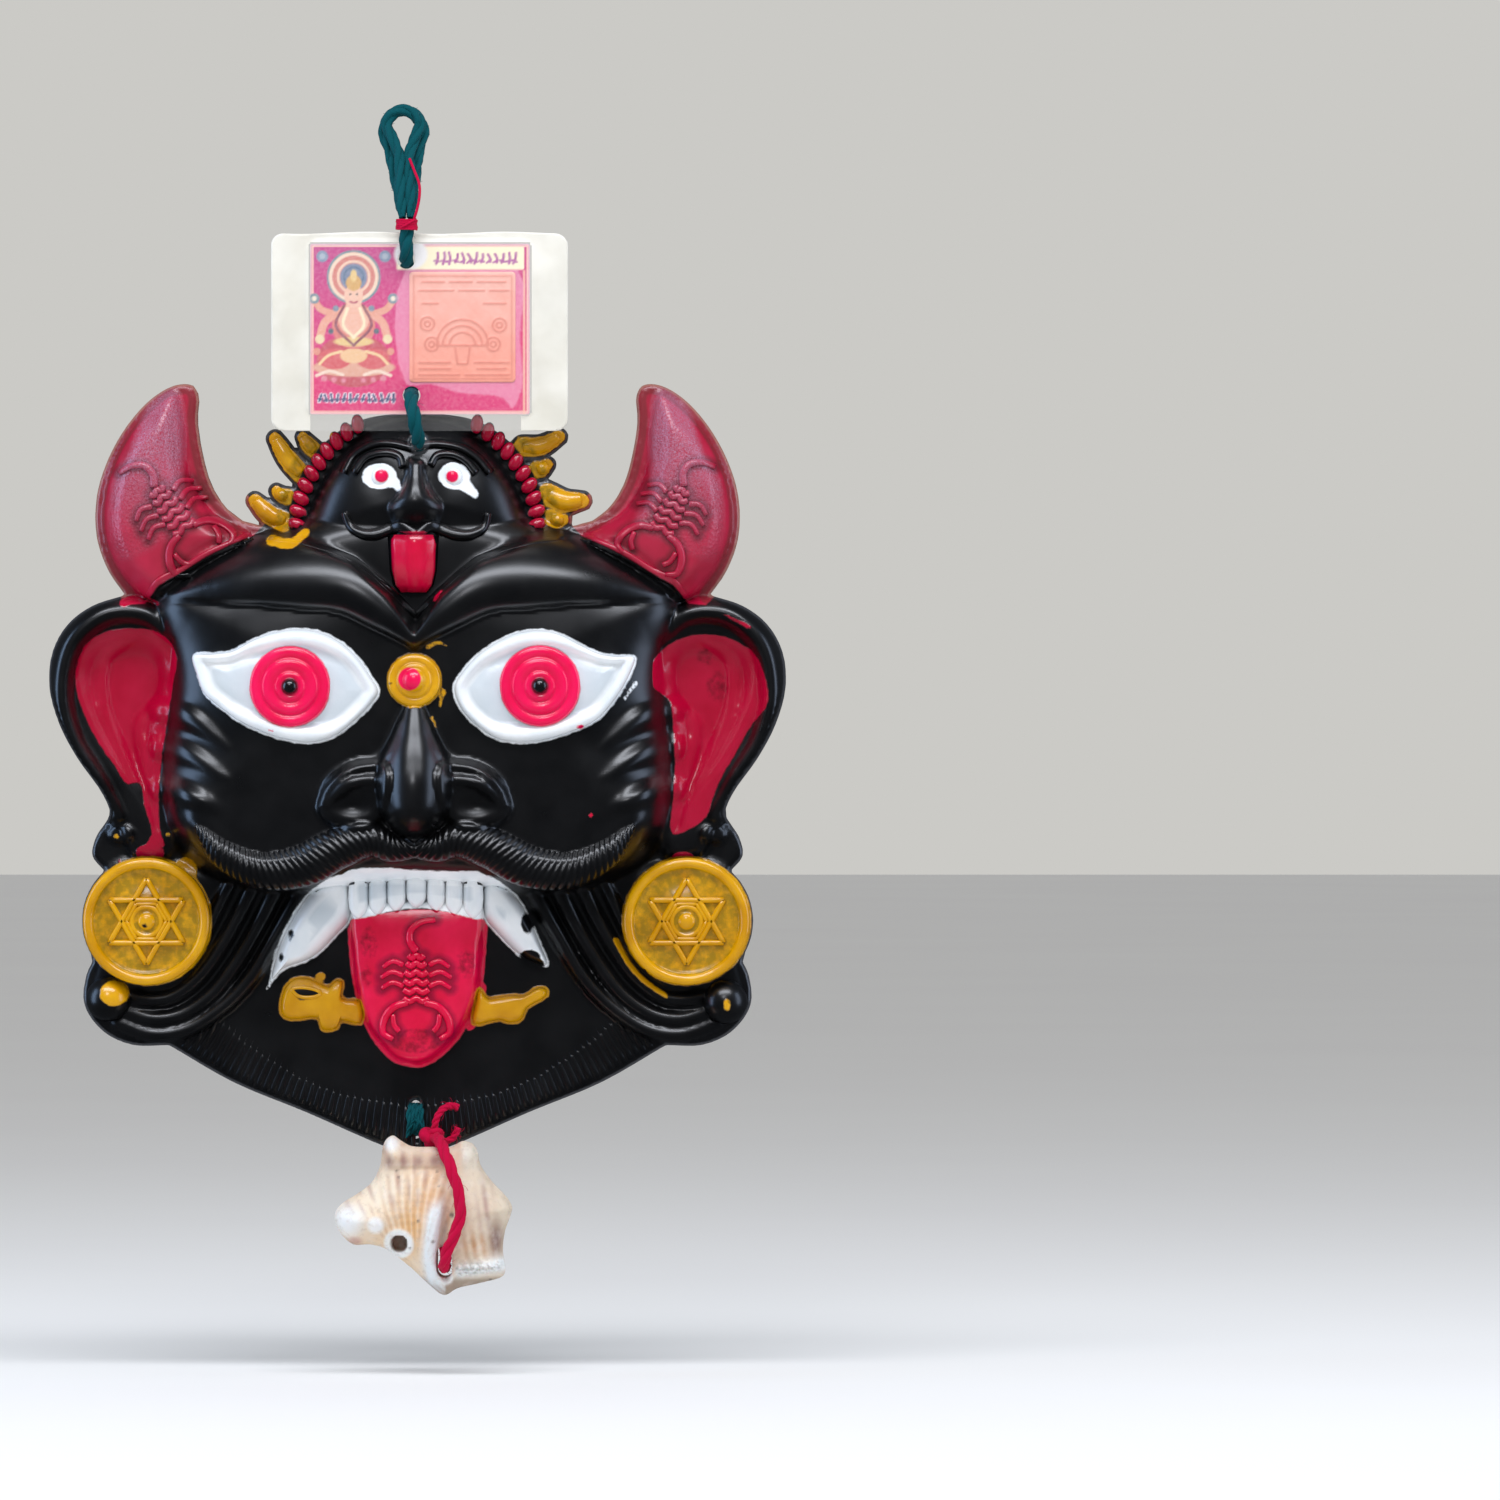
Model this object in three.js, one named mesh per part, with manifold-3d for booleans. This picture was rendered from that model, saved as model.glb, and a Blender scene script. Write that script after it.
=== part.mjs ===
// Demon wall mask of moulded black plastic, painted by hand, with a laminated card on its
// hanging cord above it and a sea shell tied on below it.
//
// Millimetres. +X is to the right of someone who faces the mask, +Z is up, and -Y comes off the
// wall. The origin is the point of the hanging loop that rests on the nail.

import * as THREE from 'three';
import { mergeVertices } from 'three/addons/utils/BufferGeometryUtils.js';
import Module from 'manifold-3d';

const wasm = await Module();
wasm.setup();

// Driving dimensions

const maskAxis = 4.5; // the mask's middle line, right of the nail
const maskDatum = -184.5; // the spot between the eyes, below the nail
const nailStandOff = 6; // the nail's bearing point, off the wall
const wall = 1.8; // the moulding's wall
const flange = 1.6; // the moulding's flat rim, which lies on the wall
const reveal = 0.3; // air between neighbouring pieces

const faceHeight = 31; // how far the cheeks stand off the wall
const headHeight = 20; // the small head over the brow
const hornHeight = 16.5;
const earFloor = 6;
const earRim = 14;
const hairHeight = 7;
const tongueHeight = 14.5;

const medalRadius = 20.6;
const irisRadius = 13;
const bindiRadius = 8.5;
const curlRadius = 7.4; // the balls that the hair curls into
const beadRadius = 3.1;
const beadDepth = 4;
const beads = 7; // on each side of the small head
const medalTop = 13.5; // the medallions' rim, off the wall
const medalSink = 1.3; // how far their field lies below the rim

const cordSize = 5; // the green cord: two strands of wool laid together
const strandSize = 2.6; // one strand of it
const tieSize = 4.2; // the red wool that holds the shell
const stitchSize = 4; // the green stitch in the foot of the beard
const cordHole = 6.6;
const cardHole = 7.5;
const stitchHole = 4.8;
const stitchPlaces = [-138.4, -147.6]; // the heights of its two holes

const pouchFilm = 0.4; // one film of the laminate
const pocketDepth = 0.9;
const cardThickness = 0.4;
const foilThickness = 0.15;
const pouchBack = 11.6; // the back of the pouch, off the wall, clear of the small head
const pouchCorner = 4;

// Building blocks. Points of the mask are (x, z, depth): depth is measured off the wall.

const spot = (x, z, depth) => new THREE.Vector3(x, -depth, z);

/** A smooth line through [x, z] pairs, with so many steps from one pair to the next. */
function smooth(pairs, steps, closed = false) {
  const through = pairs.map(([x, z]) => new THREE.Vector3(x, z, 0));
  const line = new THREE.CatmullRomCurve3(through, closed, 'centripetal');
  const spans = closed ? pairs.length : pairs.length - 1;
  const points = line.getPoints(spans * steps).map(p => new THREE.Vector2(p.x, p.y));
  return closed ? points.slice(0, -1) : points;
}

/** An outline of the right half, or its mirror image with the turning sense kept. */
function onSide(points, side) {
  if (side > 0) return points;
  return points.map(p => new THREE.Vector2(-p.x, p.y)).reverse();
}

function circle(x, z, radius, count) {
  return Array.from({ length: count }, (_, i) => {
    const turn = (i / count) * 2 * Math.PI;
    return new THREE.Vector2(x + radius * Math.cos(turn), z + radius * Math.sin(turn));
  });
}

/** The triangles that close a ring of points, facing the way the ring turns. */
function cap(ring) {
  const normal = new THREE.Vector3();
  ring.forEach((p, i) => normal.add(new THREE.Vector3().crossVectors(p, ring[(i + 1) % ring.length])));
  normal.normalize();
  const helper = Math.abs(normal.z) < 0.9 ? new THREE.Vector3(0, 0, 1) : new THREE.Vector3(1, 0, 0);
  const across = new THREE.Vector3().crossVectors(helper, normal).normalize();
  const along = new THREE.Vector3().crossVectors(normal, across);
  const flat = ring.map(p => new THREE.Vector2(p.dot(across), p.dot(along)));
  return THREE.ShapeUtils.triangulateShape(flat, []).map(([a, b, c]) => {
    const turn = (flat[b].x - flat[a].x) * (flat[c].y - flat[a].y)
      - (flat[b].y - flat[a].y) * (flat[c].x - flat[a].x);
    return turn > 0 ? [a, b, c] : [a, c, b];
  });
}

/** A closed solid through rings that have equally many points and turn about its travel. */
function loft(rings) {
  const count = rings[0].length;
  const last = (rings.length - 1) * count;
  const triangles = [];
  for (let r = 0; r < rings.length - 1; r++) {
    for (let i = 0; i < count; i++) {
      const a = r * count + i;
      const b = r * count + ((i + 1) % count);
      triangles.push(a, b, b + count, a, b + count, a + count);
    }
  }
  for (const [a, b, c] of cap(rings[0])) triangles.push(c, b, a);
  for (const [a, b, c] of cap(rings[rings.length - 1])) triangles.push(last + a, last + b, last + c);
  return solid(rings.flat().flatMap(p => [p.x, p.y, p.z]), triangles);
}

function solid(positions, triangles) {
  const vertProperties = new Float32Array(positions);
  const triVerts = new Uint32Array(triangles);
  return new wasm.Manifold(new wasm.Mesh({ numProp: 3, vertProperties, triVerts }));
}

/** A three.js shape, moved to its place, as a solid. */
function solidOf(geometry, place = new THREE.Matrix4()) {
  const bare = geometry.clone().applyMatrix4(place);
  bare.deleteAttribute('normal');
  bare.deleteAttribute('uv');
  const merged = mergeVertices(bare, 1e-4);
  return solid(merged.attributes.position.array, merged.index.array);
}

const joined = solids => solids.reduce((all, next) => all.add(next));

/** The nearest point to p on an open line. */
function nearest(p, line) {
  let best = line[0].clone();
  for (let i = 0; i < line.length - 1; i++) {
    const step = line[i + 1].clone().sub(line[i]);
    const share = THREE.MathUtils.clamp(p.clone().sub(line[i]).dot(step) / step.lengthSq(), 0, 1);
    const here = line[i].clone().addScaledVector(step, share);
    if (here.distanceTo(p) < best.distanceTo(p)) best = here;
  }
  return best;
}

/**
 * A cushion-shaped form: the edge rises and closes in on the heart line. rings lists [share of
 * the way in, depth]. With an inset it is the hollow behind that form, open to the wall.
 */
function pillow(edge, heart, rings, inset = 0) {
  const at = (p, share, depth) => {
    const inward = nearest(p, heart).sub(p);
    const way = Math.min(0.95, share + inset / inward.length());
    return spot(p.x + inward.x * way, p.y + inward.y * way, depth);
  };
  const under = inset ? -1 : 0;
  const levels = [[rings[0][0], under], ...rings.map(([share, depth]) => [share, depth - inset])];
  if (inset) levels[1][1] = Math.max(levels[1][1], 0.2);
  return loft(levels.map(([share, depth]) => edge.map(p => at(p, share, depth))));
}

/** The depth of a pillow's surface over (x, z), for a pillow whose heart is one point. */
function depthOver(edge, centre, rings, x, z) {
  const out = new THREE.Vector2(x, z).sub(centre);
  let reach = Infinity;
  edge.forEach((a, i) => {
    const b = edge[(i + 1) % edge.length];
    const step = b.clone().sub(a);
    const from = a.clone().sub(centre);
    const cross = out.cross(step);
    const along = from.cross(step) / cross;
    const share = from.cross(out) / cross;
    if (along > 0 && share >= 0 && share <= 1) reach = Math.min(reach, along);
  });
  const share = 1 - 1 / reach;
  const next = rings.findIndex(ring => ring[0] > share);
  if (share <= 0) return rings[0][1];
  if (next < 0) return rings[rings.length - 1][1];
  const [before, after] = [rings[next - 1], rings[next]];
  return THREE.MathUtils.mapLinear(share, before[0], after[0], before[1], after[1]);
}

/** A value that changes along a line: a number, or a list that is read from start to end. */
function readAlong(value, share) {
  if (typeof value === 'number') return value;
  const place = share * (value.length - 1);
  const low = Math.min(Math.floor(place), value.length - 2);
  return THREE.MathUtils.lerp(value[low], value[low + 1], place - low);
}

/** A rounded ridge along a line, half an ellipse in section, on the surface floor(x, z). */
function ridge(line, halfWidth, height, floor, sides = 4, bury = 1) {
  const rings = line.map((p, i) => {
    const ahead = line[Math.min(i + 1, line.length - 1)].clone().sub(line[Math.max(i - 1, 0)]).normalize();
    const share = i / (line.length - 1);
    const [w, h] = [readAlong(halfWidth, share), readAlong(height, share)];
    const section = [[w, -bury], [-w, -bury]];
    for (let k = sides; k >= 0; k--) {
      const turn = (k / sides) * Math.PI;
      section.push([w * Math.cos(turn), h * Math.sin(turn)]);
    }
    const ground = floor(p.x, p.y);
    return section.map(([a, b]) => spot(p.x + ahead.y * a, p.y - ahead.x * a, ground + b));
  });
  return loft(rings);
}

/** A straight-sided plate from one depth to another. */
function plate(edge, low, high) {
  return loft([low, high].map(depth => edge.map(p => spot(p.x, p.y, depth))));
}

/** A turned form about an axis that comes straight off the wall; profile lists [radius, depth]. */
function turned(x, z, profile, count) {
  const points = profile.map(([radius, depth]) => new THREE.Vector2(radius, depth));
  const geometry = new THREE.LatheGeometry(points, count);
  geometry.rotateX(Math.PI);
  return solidOf(geometry, new THREE.Matrix4().makeTranslation(x, 0, z));
}

/** A round cord of so many sides through points in space. */
function cordGeometry(points, size, steps, sides = 8) {
  const path = new THREE.CatmullRomCurve3(points, false, 'centripetal');
  const section = new THREE.Shape(circle(0, 0, size / 2, sides));
  return new THREE.ExtrudeGeometry(section, { steps, extrudePath: path, bevelEnabled: false });
}

const drill = (x, z, size, low = -2, high = 40) => plate(circle(x, z, size / 2, 12), low, high);

// The outline of the moulding

const notch = [95.3, 28];
const hornFoot = [57, 52.2];
const medal = [87.8, -78.2];
const medalRim = 21.6;

const beardSide = [[0, -155], [9, -152.4], [36.5, -140.5], [60, -130.8], [81, -118.7]];
const curlSide = [[81, -118.7], [93, -118.6], [102.5, -114.2], [108.6, -105.5], [107.8, -95.4],
  [105.3, -90.5]];
const earSide = [[102, -62], [106, -57], [104.8, -50.8], [100.4, -43.4], [102.6, -37], [111, -25],
  [116.8, -14], [120, -2], [119, 9.5], [114, 18.5], [106, 24.5], notch];
const hornSide = [notch, [100.8, 36], [104.6, 47], [104.6, 60], [101, 72], [94.5, 83.5], [86.5, 92.2],
  [79, 96.4], [73.5, 96.4], [71.4, 93], [71.7, 85], [70.3, 75], [67.2, 64], [62.5, 56.6], hornFoot];
const crownSide = [hornFoot, [46, 50.5], [41, 61.5], [33, 75], [20, 84.6], [0, 88]];

function maskEdge() {
  const arc = Array.from({ length: 6 }, (_, i) => {
    const turn = THREE.MathUtils.degToRad(-30 + i * 15);
    return new THREE.Vector2(medal[0] + medalRim * Math.cos(turn), medal[1] + medalRim * Math.sin(turn));
  });
  const half = [beardSide, curlSide].flatMap(pairs => smooth(pairs, 1).slice(0, -1))
    .concat(arc, smooth(earSide, 1).slice(0, -1), smooth(hornSide, 1).slice(0, -1), smooth(crownSide, 1));
  return half.concat(onSide(half, -1).slice(1, -1));
}

// Rays of the crown: [foot x, foot z, tip x, tip z, half width], listed for each side

const raysLeft = [[-33, 64, -46.5, 79.5, 2.2], [-28, 72, -37.5, 80.5, 2], [-37, 57, -46, 62, 2],
  [-38, 49, -54, 59, 2.7]];
const raysRight = [[27, 73, 46, 80, 2.4], [32, 65, 42, 70.5, 2.4], [35, 60, 54, 58.5, 3],
  [37, 53, 48, 53, 2.4]];
const rays = [...raysLeft, ...raysRight];

function rayLine([footX, footZ, tipX, tipZ]) {
  const bow = Math.abs(tipX - footX) * 0.12;
  return smooth([[footX, footZ], [(footX + tipX) / 2, (footZ + tipZ) / 2 - bow], [tipX, tipZ]], 1);
}

const rayMargin = 1.8; // the flat rim that shows on either side of a ray
const rayHeights = [4, 4.5, 2];
const onFlange = () => flange;
const inFlange = () => flange - 0.1;

const rayPads = rays.map(ray => ridge(rayLine(ray), ray[4] + rayMargin, 0.1, inFlange, 2, inFlange()));
const rayBars = rays.map(ray => {
  const halfWidth = ray[4];
  return ridge(rayLine(ray), [halfWidth, halfWidth, halfWidth * 0.4], rayHeights, onFlange, 2);
});

// The hollow forms of the moulding, each a pillow with a hollow of the same shape behind it

const faceCentre = new THREE.Vector2(0, -10);
const faceSide = [[0, -66], [24, -67.5], [50, -68], [70, -60.5], [81, -45], [83, -22], [81, 3], [86, 26],
  [70, 38], [46, 49], [24, 57], [0, 59]];
const faceEdge = (() => {
  const half = smooth(faceSide, 1);
  return half.concat(onSide(half, -1).slice(1, -1));
})();
const faceRings = [[0, 3], [0.06, 13.5], [0.17, 21.5], [0.36, 27.5], [0.75, faceHeight]];
const faceDepth = (x, z) => depthOver(faceEdge, faceCentre, faceRings, x, z);

const headCentre = new THREE.Vector2(0, 55);
const headSide = [[0, 20], [18, 34], [36, 45], [34, 58], [27, 70], [15, 80.6], [0, 84]];
const headEdge = (() => {
  const half = smooth(headSide, 1);
  return half.concat(onSide(half, -1).slice(1, -1));
})();
const headRings = [[0, 3], [0.1, 10.5], [0.32, 17], [0.75, headHeight]];
const headDepth = (x, z) => Math.max(depthOver(headEdge, headCentre, headRings, x, z), faceDepth(x, z));

const hornSideRaised = [[93.5, 30.5], [102, 45], [102, 62], [96, 78], [88, 88], [79, 94.6], [76, 86],
  [74, 67], [66, 54.5], [54, 47.5], [70, 35.5], [84, 25]];
const hornHeart = [[81, 84], [85, 72], [88, 60], [88, 48], [84, 38], [72, 44]]
  .map(p => new THREE.Vector2(...p));
const hornRings = [[0, flange], [0.12, 9], [0.5, hornHeight]];

const earEdge = smooth([[93, 26], [105.5, 23], [115.5, 14], [118.4, -2], [112, -21], [100.5, -37], [93, -58],
  [80, -58], [76, -20], [76, 16], [84, 25]], 1);
const earHeart = [[96, 8], [96, -8], [90, -28], [86, -45]].map(p => new THREE.Vector2(...p));
const earRings = [[0, flange], [0.1, earFloor]];
const earRimLine = smooth([[97, -44], [104, -32], [112, -19], [115.8, -3], [111.5, 13], [100, 22.4],
  [87, 21], [79, 13]], 1);

const hairEdge = smooth([[46, -68], [60, -62], [96, -56], [107, -66], [105, -90], [107.5, -103],
  [101, -113.5], [80, -117.5], [64, -107], [46, -80]], 1);
const hairHeart = [[58, -76], [70, -92], [88, -100]].map(p => new THREE.Vector2(...p));
const hairRings = [[0, flange], [0.15, hairHeight]];

const onHair = () => hairHeight - 0.5;

function hollowForms(inset) {
  const forms = [
    pillow(faceEdge, [faceCentre, new THREE.Vector2(0, -9.9)], faceRings, inset),
    pillow(headEdge, [headCentre, new THREE.Vector2(0, 55.1)], headRings, inset),
  ];
  for (const side of [1, -1]) {
    const heart = line => onSide(line, side);
    forms.push(pillow(onSide(smooth(hornSideRaised, 1), side), heart(hornHeart), hornRings, inset));
    forms.push(pillow(onSide(earEdge.slice().reverse(), side), heart(earHeart), earRings, inset));
    forms.push(pillow(onSide(hairEdge.slice().reverse(), side), heart(hairHeart), hairRings, inset));
  }
  return forms;
}

// Carving that stands on those forms, hollow behind too where it is thick enough

/** A pillow with the hollow behind it, open to the wall. */
const raisedPillow = (edge, heart, rings) => ({
  solid: pillow(edge, heart, rings),
  hollow: pillow(edge, heart, rings, wall),
});

/** A ridge, with one size for each point, and the hollow behind it that opens into the form below. */
function raisedRidge(line, halfWidths, heights, floor, sides) {
  const inner = list => list.slice(1, -1);
  const thinner = sizes => inner(sizes).map(size => Math.max(size - wall, 0.3));
  return {
    solid: ridge(line, halfWidths, heights, floor, sides, 1),
    hollow: ridge(inner(line), thinner(halfWidths), thinner(heights), floor, sides, 5),
  };
}

/** The same ridge on either side of the middle line. */
function pairedRidge(side, pairs, halfWidths, heights, floor, sides) {
  const inOrder = sizes => (side > 0 ? sizes : sizes.slice().reverse());
  return raisedRidge(onSide(smooth(pairs, 1), side), inOrder(halfWidths), inOrder(heights), floor, sides);
}

const heartOf = (pairs, side = 1) => onSide(pairs.map(p => new THREE.Vector2(...p)), side);

const almond = [[12, -3.5], [17.5, 5.5], [27, 13], [40, 16.2], [53, 12], [71.4, 7.8], [66, -6], [54, -15.4],
  [38, -19.6], [24.5, -17.6]];

function eye(side) {
  const lid = onSide(smooth(almond, 1).reverse(), side);
  const heart = heartOf([[24, -2], [60, 1]], side);
  const depth = faceDepth(41, -2);
  const ball = depth + 1.4;
  const rim = pillow(lid, heart, [[0, depth - 8], [0.06, depth + 2], [0.2, depth + 3.2], [0.3, ball]]);
  const behind = pillow(lid, heart, [[0, depth - 8], [0.06, ball], [0.3, ball]], wall);
  const iris = turned(side * 40.5, -1.8, [[0, depth], [irisRadius, depth], [irisRadius, depth + 3],
    [9, depth + 3.6], [2.8, depth + 4.2], [0, depth + 6.2]], 12);
  return [{ solid: rim, hollow: behind }, { solid: iris }];
}

function noseAndWings() {
  const bridge = smooth([[0, -8], [0, -18], [0, -28], [0, -37], [0, -45], [0, -50]], 1);
  const wing = [[8, -28], [14, -29], [20, -30.2], [26, -35], [30.5, -42]];
  const wings = [1, -1].map(side => (
    pairedRidge(side, wing, [4, 4, 3.8, 3, 1], [8, 8, 7, 5, 1.5], faceDepth, 4)));
  return [
    raisedRidge(bridge, [3.2, 5.5, 8.5, 11, 9, 4], [2, 7, 12, 16, 12, 3], faceDepth, 6),
    ...wings,
  ];
}

const browLine = [[0, 12], [10, 20], [22, 28], [38.8, 32], [60, 32.5], [83, 27]];
const brow = side => pairedRidge(side, browLine, [4, 7, 10, 12, 10, 2], [5, 6, 7, 7, 6, 1.5], faceDepth, 4);

const moustacheDepth = (x, z) => Math.max(faceDepth(x, z), 12);
const moustacheLine = [[0, -55.5], [14, -52], [24, -54], [37, -60], [50, -61.2], [62, -56], [71, -46.5]];
const moustache = side => (
  pairedRidge(side, moustacheLine, [2.5, 6.3, 7, 6.5, 6, 5, 0.8], [4, 7, 7.5, 7.5, 7, 5, 1],
    moustacheDepth, 4));

const teethTops = [-21.2, -13, -4.8, 4.4, 12, 21];
const toothLength = [15.5, 14, 12, 12.5, 15];

function teeth() {
  return toothLength.map((length, i) => {
    const [left, right] = [teethTops[i] + 0.3, teethTops[i + 1] - 0.3];
    const middle = (left + right) / 2;
    const edge = smooth([[left, -60], [left, -61 - length * 0.75], [middle, -61.5 - length],
      [right, -61 - length * 0.75], [right, -60]], 1);
    const heart = heartOf([[middle, -62], [middle, -58 - length * 0.7]]);
    return { solid: pillow(edge, heart, [[0, 0], [0.3, 13]]) };
  });
}

const fangSide = [[22, -63], [22, -77.5], [33.5, -88.8], [46, -95.5], [39, -77.5], [32.5, -69]];

function fang(side) {
  const heart = heartOf([[26, -70], [33, -80], [40, -88]], side);
  return raisedPillow(onSide(smooth(fangSide, 1), side), heart, [[0, 0], [0.15, 9], [0.5, 12.5]]);
}

const tongueSide = [[0, -125.4], [11.5, -119], [18.4, -106], [21.7, -88], [21.5, -73], [0, -71]];

function tongue() {
  const half = smooth(tongueSide, 1);
  const edge = half.concat(onSide(half, -1).slice(1, -1));
  const heart = heartOf([[0, -112], [0, -80]]);
  return raisedPillow(edge, heart, [[0, 0], [0.08, 9], [0.3, 13.5], [0.7, tongueHeight]]);
}

const swordHilt = [[-44.3, -109], [-43, -99], [-35, -97], [-29, -99.5], [-18, -101], [-18, -110.5],
  [-27.7, -113.3], [-32.4, -109.8]];
const swordPoint = [[17, -110], [20.5, -106.5], [19, -99.3], [30.6, -102.4], [41.7, -100.3], [42.3, -102.8],
  [33, -110.4]];

function sword(pairs) {
  const edge = smooth(pairs, 1);
  const middle = edge.reduce((sum, p) => sum.add(p), new THREE.Vector2()).divideScalar(edge.length);
  const inner = pairs[0][0] < 0 ? -4 : 4;
  if (THREE.ShapeUtils.area(edge) < 0) edge.reverse();
  return raisedPillow(edge, heartOf([[middle.x - inner, middle.y], [middle.x + inner, middle.y]]),
    [[0, 0], [0.12, 6], [0.5, 7.2]]);
}

/** A disc with a raised rim, a sunk ring and a boss in the middle. */
function medallion(side) {
  const field = medalTop - medalSink;
  const profile = [[0, 0], [medalRadius, 0], [medalRadius, medalTop - 1], [medalRadius - 1, medalTop],
    [17.4, medalTop], [16, field], [4, field], [0, medalTop + 0.4]];
  const inside = medalRadius - wall;
  const behind = [[0, -1], [inside, -1], [inside, field - wall], [0, field - wall]];
  return {
    solid: turned(side * medal[0], medal[1], profile, 16),
    hollow: turned(side * medal[0], medal[1], behind, 16),
  };
}

const strands = [
  [[[42, -66], [58, -90], [69, -103], [82, -111.5], [95, -110]], 3.4],
  [[[50, -66], [64, -88], [74, -100], [85, -105], [96, -104]], 3.2],
  [[[59, -66], [70, -84], [80, -95.5], [93, -97.5]], 2.6],
];

function curl(side) {
  const inside = curlRadius - wall;
  const ball = [[0, 1], [curlRadius, 1], [curlRadius, 8], [5.6, 12], [0, 14]];
  const behind = [[0, -1], [inside, -1], [inside, 7], [0, 10]];
  return {
    solid: turned(side * 100.5, -104, ball, 12),
    hollow: turned(side * 100.5, -104, behind, 12),
  };
}

function earRoll(side) {
  const [width, height] = [4.2, earRim - flange];
  const line = onSide(earRimLine, side);
  return {
    solid: ridge(line, width, height, onFlange, 4, flange - 0.2),
    hollow: ridge(line, width - wall, height - wall, onFlange, 4, flange + 1),
  };
}

/** One bead of the rope that goes round the small head, on an oval about it. */
function bead(side, i) {
  const turn = THREE.MathUtils.degToRad(-6 + i * 12.4);
  const [x, z] = [side * 38 * Math.cos(turn), 52.5 + 30 * Math.sin(turn)];
  const place = new THREE.Matrix4().makeTranslation(x, -beadDepth, z);
  return solidOf(new THREE.IcosahedronGeometry(beadRadius, 0), place);
}

/** The small head's face, with its brows, moustache, eyes and beads on either side. */
function smallFace() {
  const nose = smooth([[0, 76], [0, 66], [0, 58], [0, 50.5]], 1);
  const mouth = smooth([[-8.5, 46], [-8.5, 32], [-4, 28], [4, 28], [8.5, 32], [8.5, 46]], 1);
  const eyebrow = smooth([[5, 72.5], [12, 74.2], [19.5, 68.6]], 1);
  const lip = smooth([[0, 47.5], [10, 48.4], [17, 47], [22.5, 52.8]], 1);
  const pupil = [[0, 10], [3, 10], [2.6, headHeight], [0, headHeight + 0.3]];
  const solids = [
    ridge(nose, [2, 3, 5.5, 7], [1, 3, 6, 4], headDepth, 4),
    pillow(mouth, heartOf([[0, 42], [0, 35]]), [[0, 10], [0.1, headHeight + 1], [0.5, headHeight + 5]]),
  ];
  for (const side of [1, -1]) {
    solids.push(ridge(onSide(eyebrow, side), 1.4, 1.3, headDepth, 2));
    solids.push(ridge(onSide(lip, side), 1.6, 1.8, headDepth, 2));
    solids.push(turned(side * 11.6, 66.3, pupil, 8));
    for (let i = 0; i < beads; i++) solids.push(bead(side, i));
  }
  return solids.map(form => ({ solid: form }));
}

function maskGeometry() {
  const bindi = turned(0, 0, [[0, 24], [bindiRadius, 24], [bindiRadius, faceHeight + 2],
    [5.4, faceHeight + 3], [3, faceHeight + 5], [0, faceHeight + 5.4]], 12);
  const carving = [...noseAndWings(), ...teeth(), tongue(), ...smallFace(), sword(swordHilt),
    sword(swordPoint), { solid: bindi }, ...rayBars.map(bar => ({ solid: bar }))];
  for (const side of [1, -1]) {
    carving.push(...eye(side), brow(side), moustache(side), fang(side));
    carving.push(medallion(side), curl(side), earRoll(side));
    for (const [pairs, width] of strands) {
      carving.push({ solid: ridge(onSide(smooth(pairs, 1), side), width, width, onHair, 3) });
    }
  }
  const rim = plate(maskEdge(), 0, flange);
  const body = joined([rim, ...rayPads, ...hollowForms(0), ...carving.map(c => c.solid)]);
  const hollow = joined([...hollowForms(wall), ...carving.filter(c => c.hollow).map(c => c.hollow)]);
  const stitchHoles = stitchPlaces.map(z => drill(-0.6, z, stitchHole));
  const holes = joined([drill(0.8, 77.2, cordHole), ...stitchHoles]);
  return geometryOf(body.subtract(hollow).subtract(holes));
}

function geometryOf(manifold) {
  const { vertProperties, triVerts } = manifold.getMesh();
  const geometry = new THREE.BufferGeometry();
  geometry.setAttribute('position', new THREE.BufferAttribute(new Float32Array(vertProperties), 3));
  geometry.setIndex(new THREE.BufferAttribute(new Uint32Array(triVerts), 1));
  geometry.computeVertexNormals();
  return geometry;
}

// The laminated card: a clear film pouch, a printed card in it, and a copper foil on the card

const pouchBox = [-47.2, 81.2, 49.2, 145.4]; // left, bottom, right, top
const cardBox = [-34.5, 86.6, 36.8, 142];
const foilBox = [-2.3, 97, 32.2, 132.9];
const topHole = [-3.3, 136.8];
const lowHole = [-1.6, 92.8];

function rectangle([left, bottom, right, top], corner) {
  const shape = new THREE.Shape();
  shape.moveTo(left + corner, bottom);
  shape.lineTo(right - corner, bottom);
  shape.absarc(right - corner, bottom + corner, corner, -Math.PI / 2, 0);
  shape.absarc(right - corner, top - corner, corner, 0, Math.PI / 2);
  shape.absarc(left + corner, top - corner, corner, Math.PI / 2, Math.PI);
  shape.absarc(left + corner, bottom + corner, corner, Math.PI, Math.PI * 1.5);
  return shape.extractPoints(3).shape.slice(0, -1);
}

/** A plate with the two holes that the cord passes through. */
const punched = body => body.subtract(drill(...topHole, cardHole)).subtract(drill(...lowHole, cardHole));

function pouchGeometry() {
  const front = pouchBack + 2 * pouchFilm + pocketDepth;
  const body = plate(rectangle(pouchBox, pouchCorner), pouchBack, front);
  const grow = [-reveal, -reveal, reveal, reveal];
  const pocketEdge = rectangle(cardBox.map((v, i) => v + grow[i]), 0.8);
  const pocket = plate(pocketEdge, pouchBack + pouchFilm, front - pouchFilm);
  return geometryOf(punched(body.subtract(pocket)));
}

function cardGeometry() {
  const back = pouchBack + pouchFilm + 0.1;
  return geometryOf(punched(plate(rectangle(cardBox, 0.5), back, back + cardThickness)));
}

function foilGeometry() {
  const back = pouchBack + pouchFilm + 0.2 + cardThickness;
  return geometryOf(plate(rectangle(foilBox, 1.2), back, back + foilThickness));
}

// Cords. Routes are lists of [x, z, depth], chosen by hand.

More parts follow.
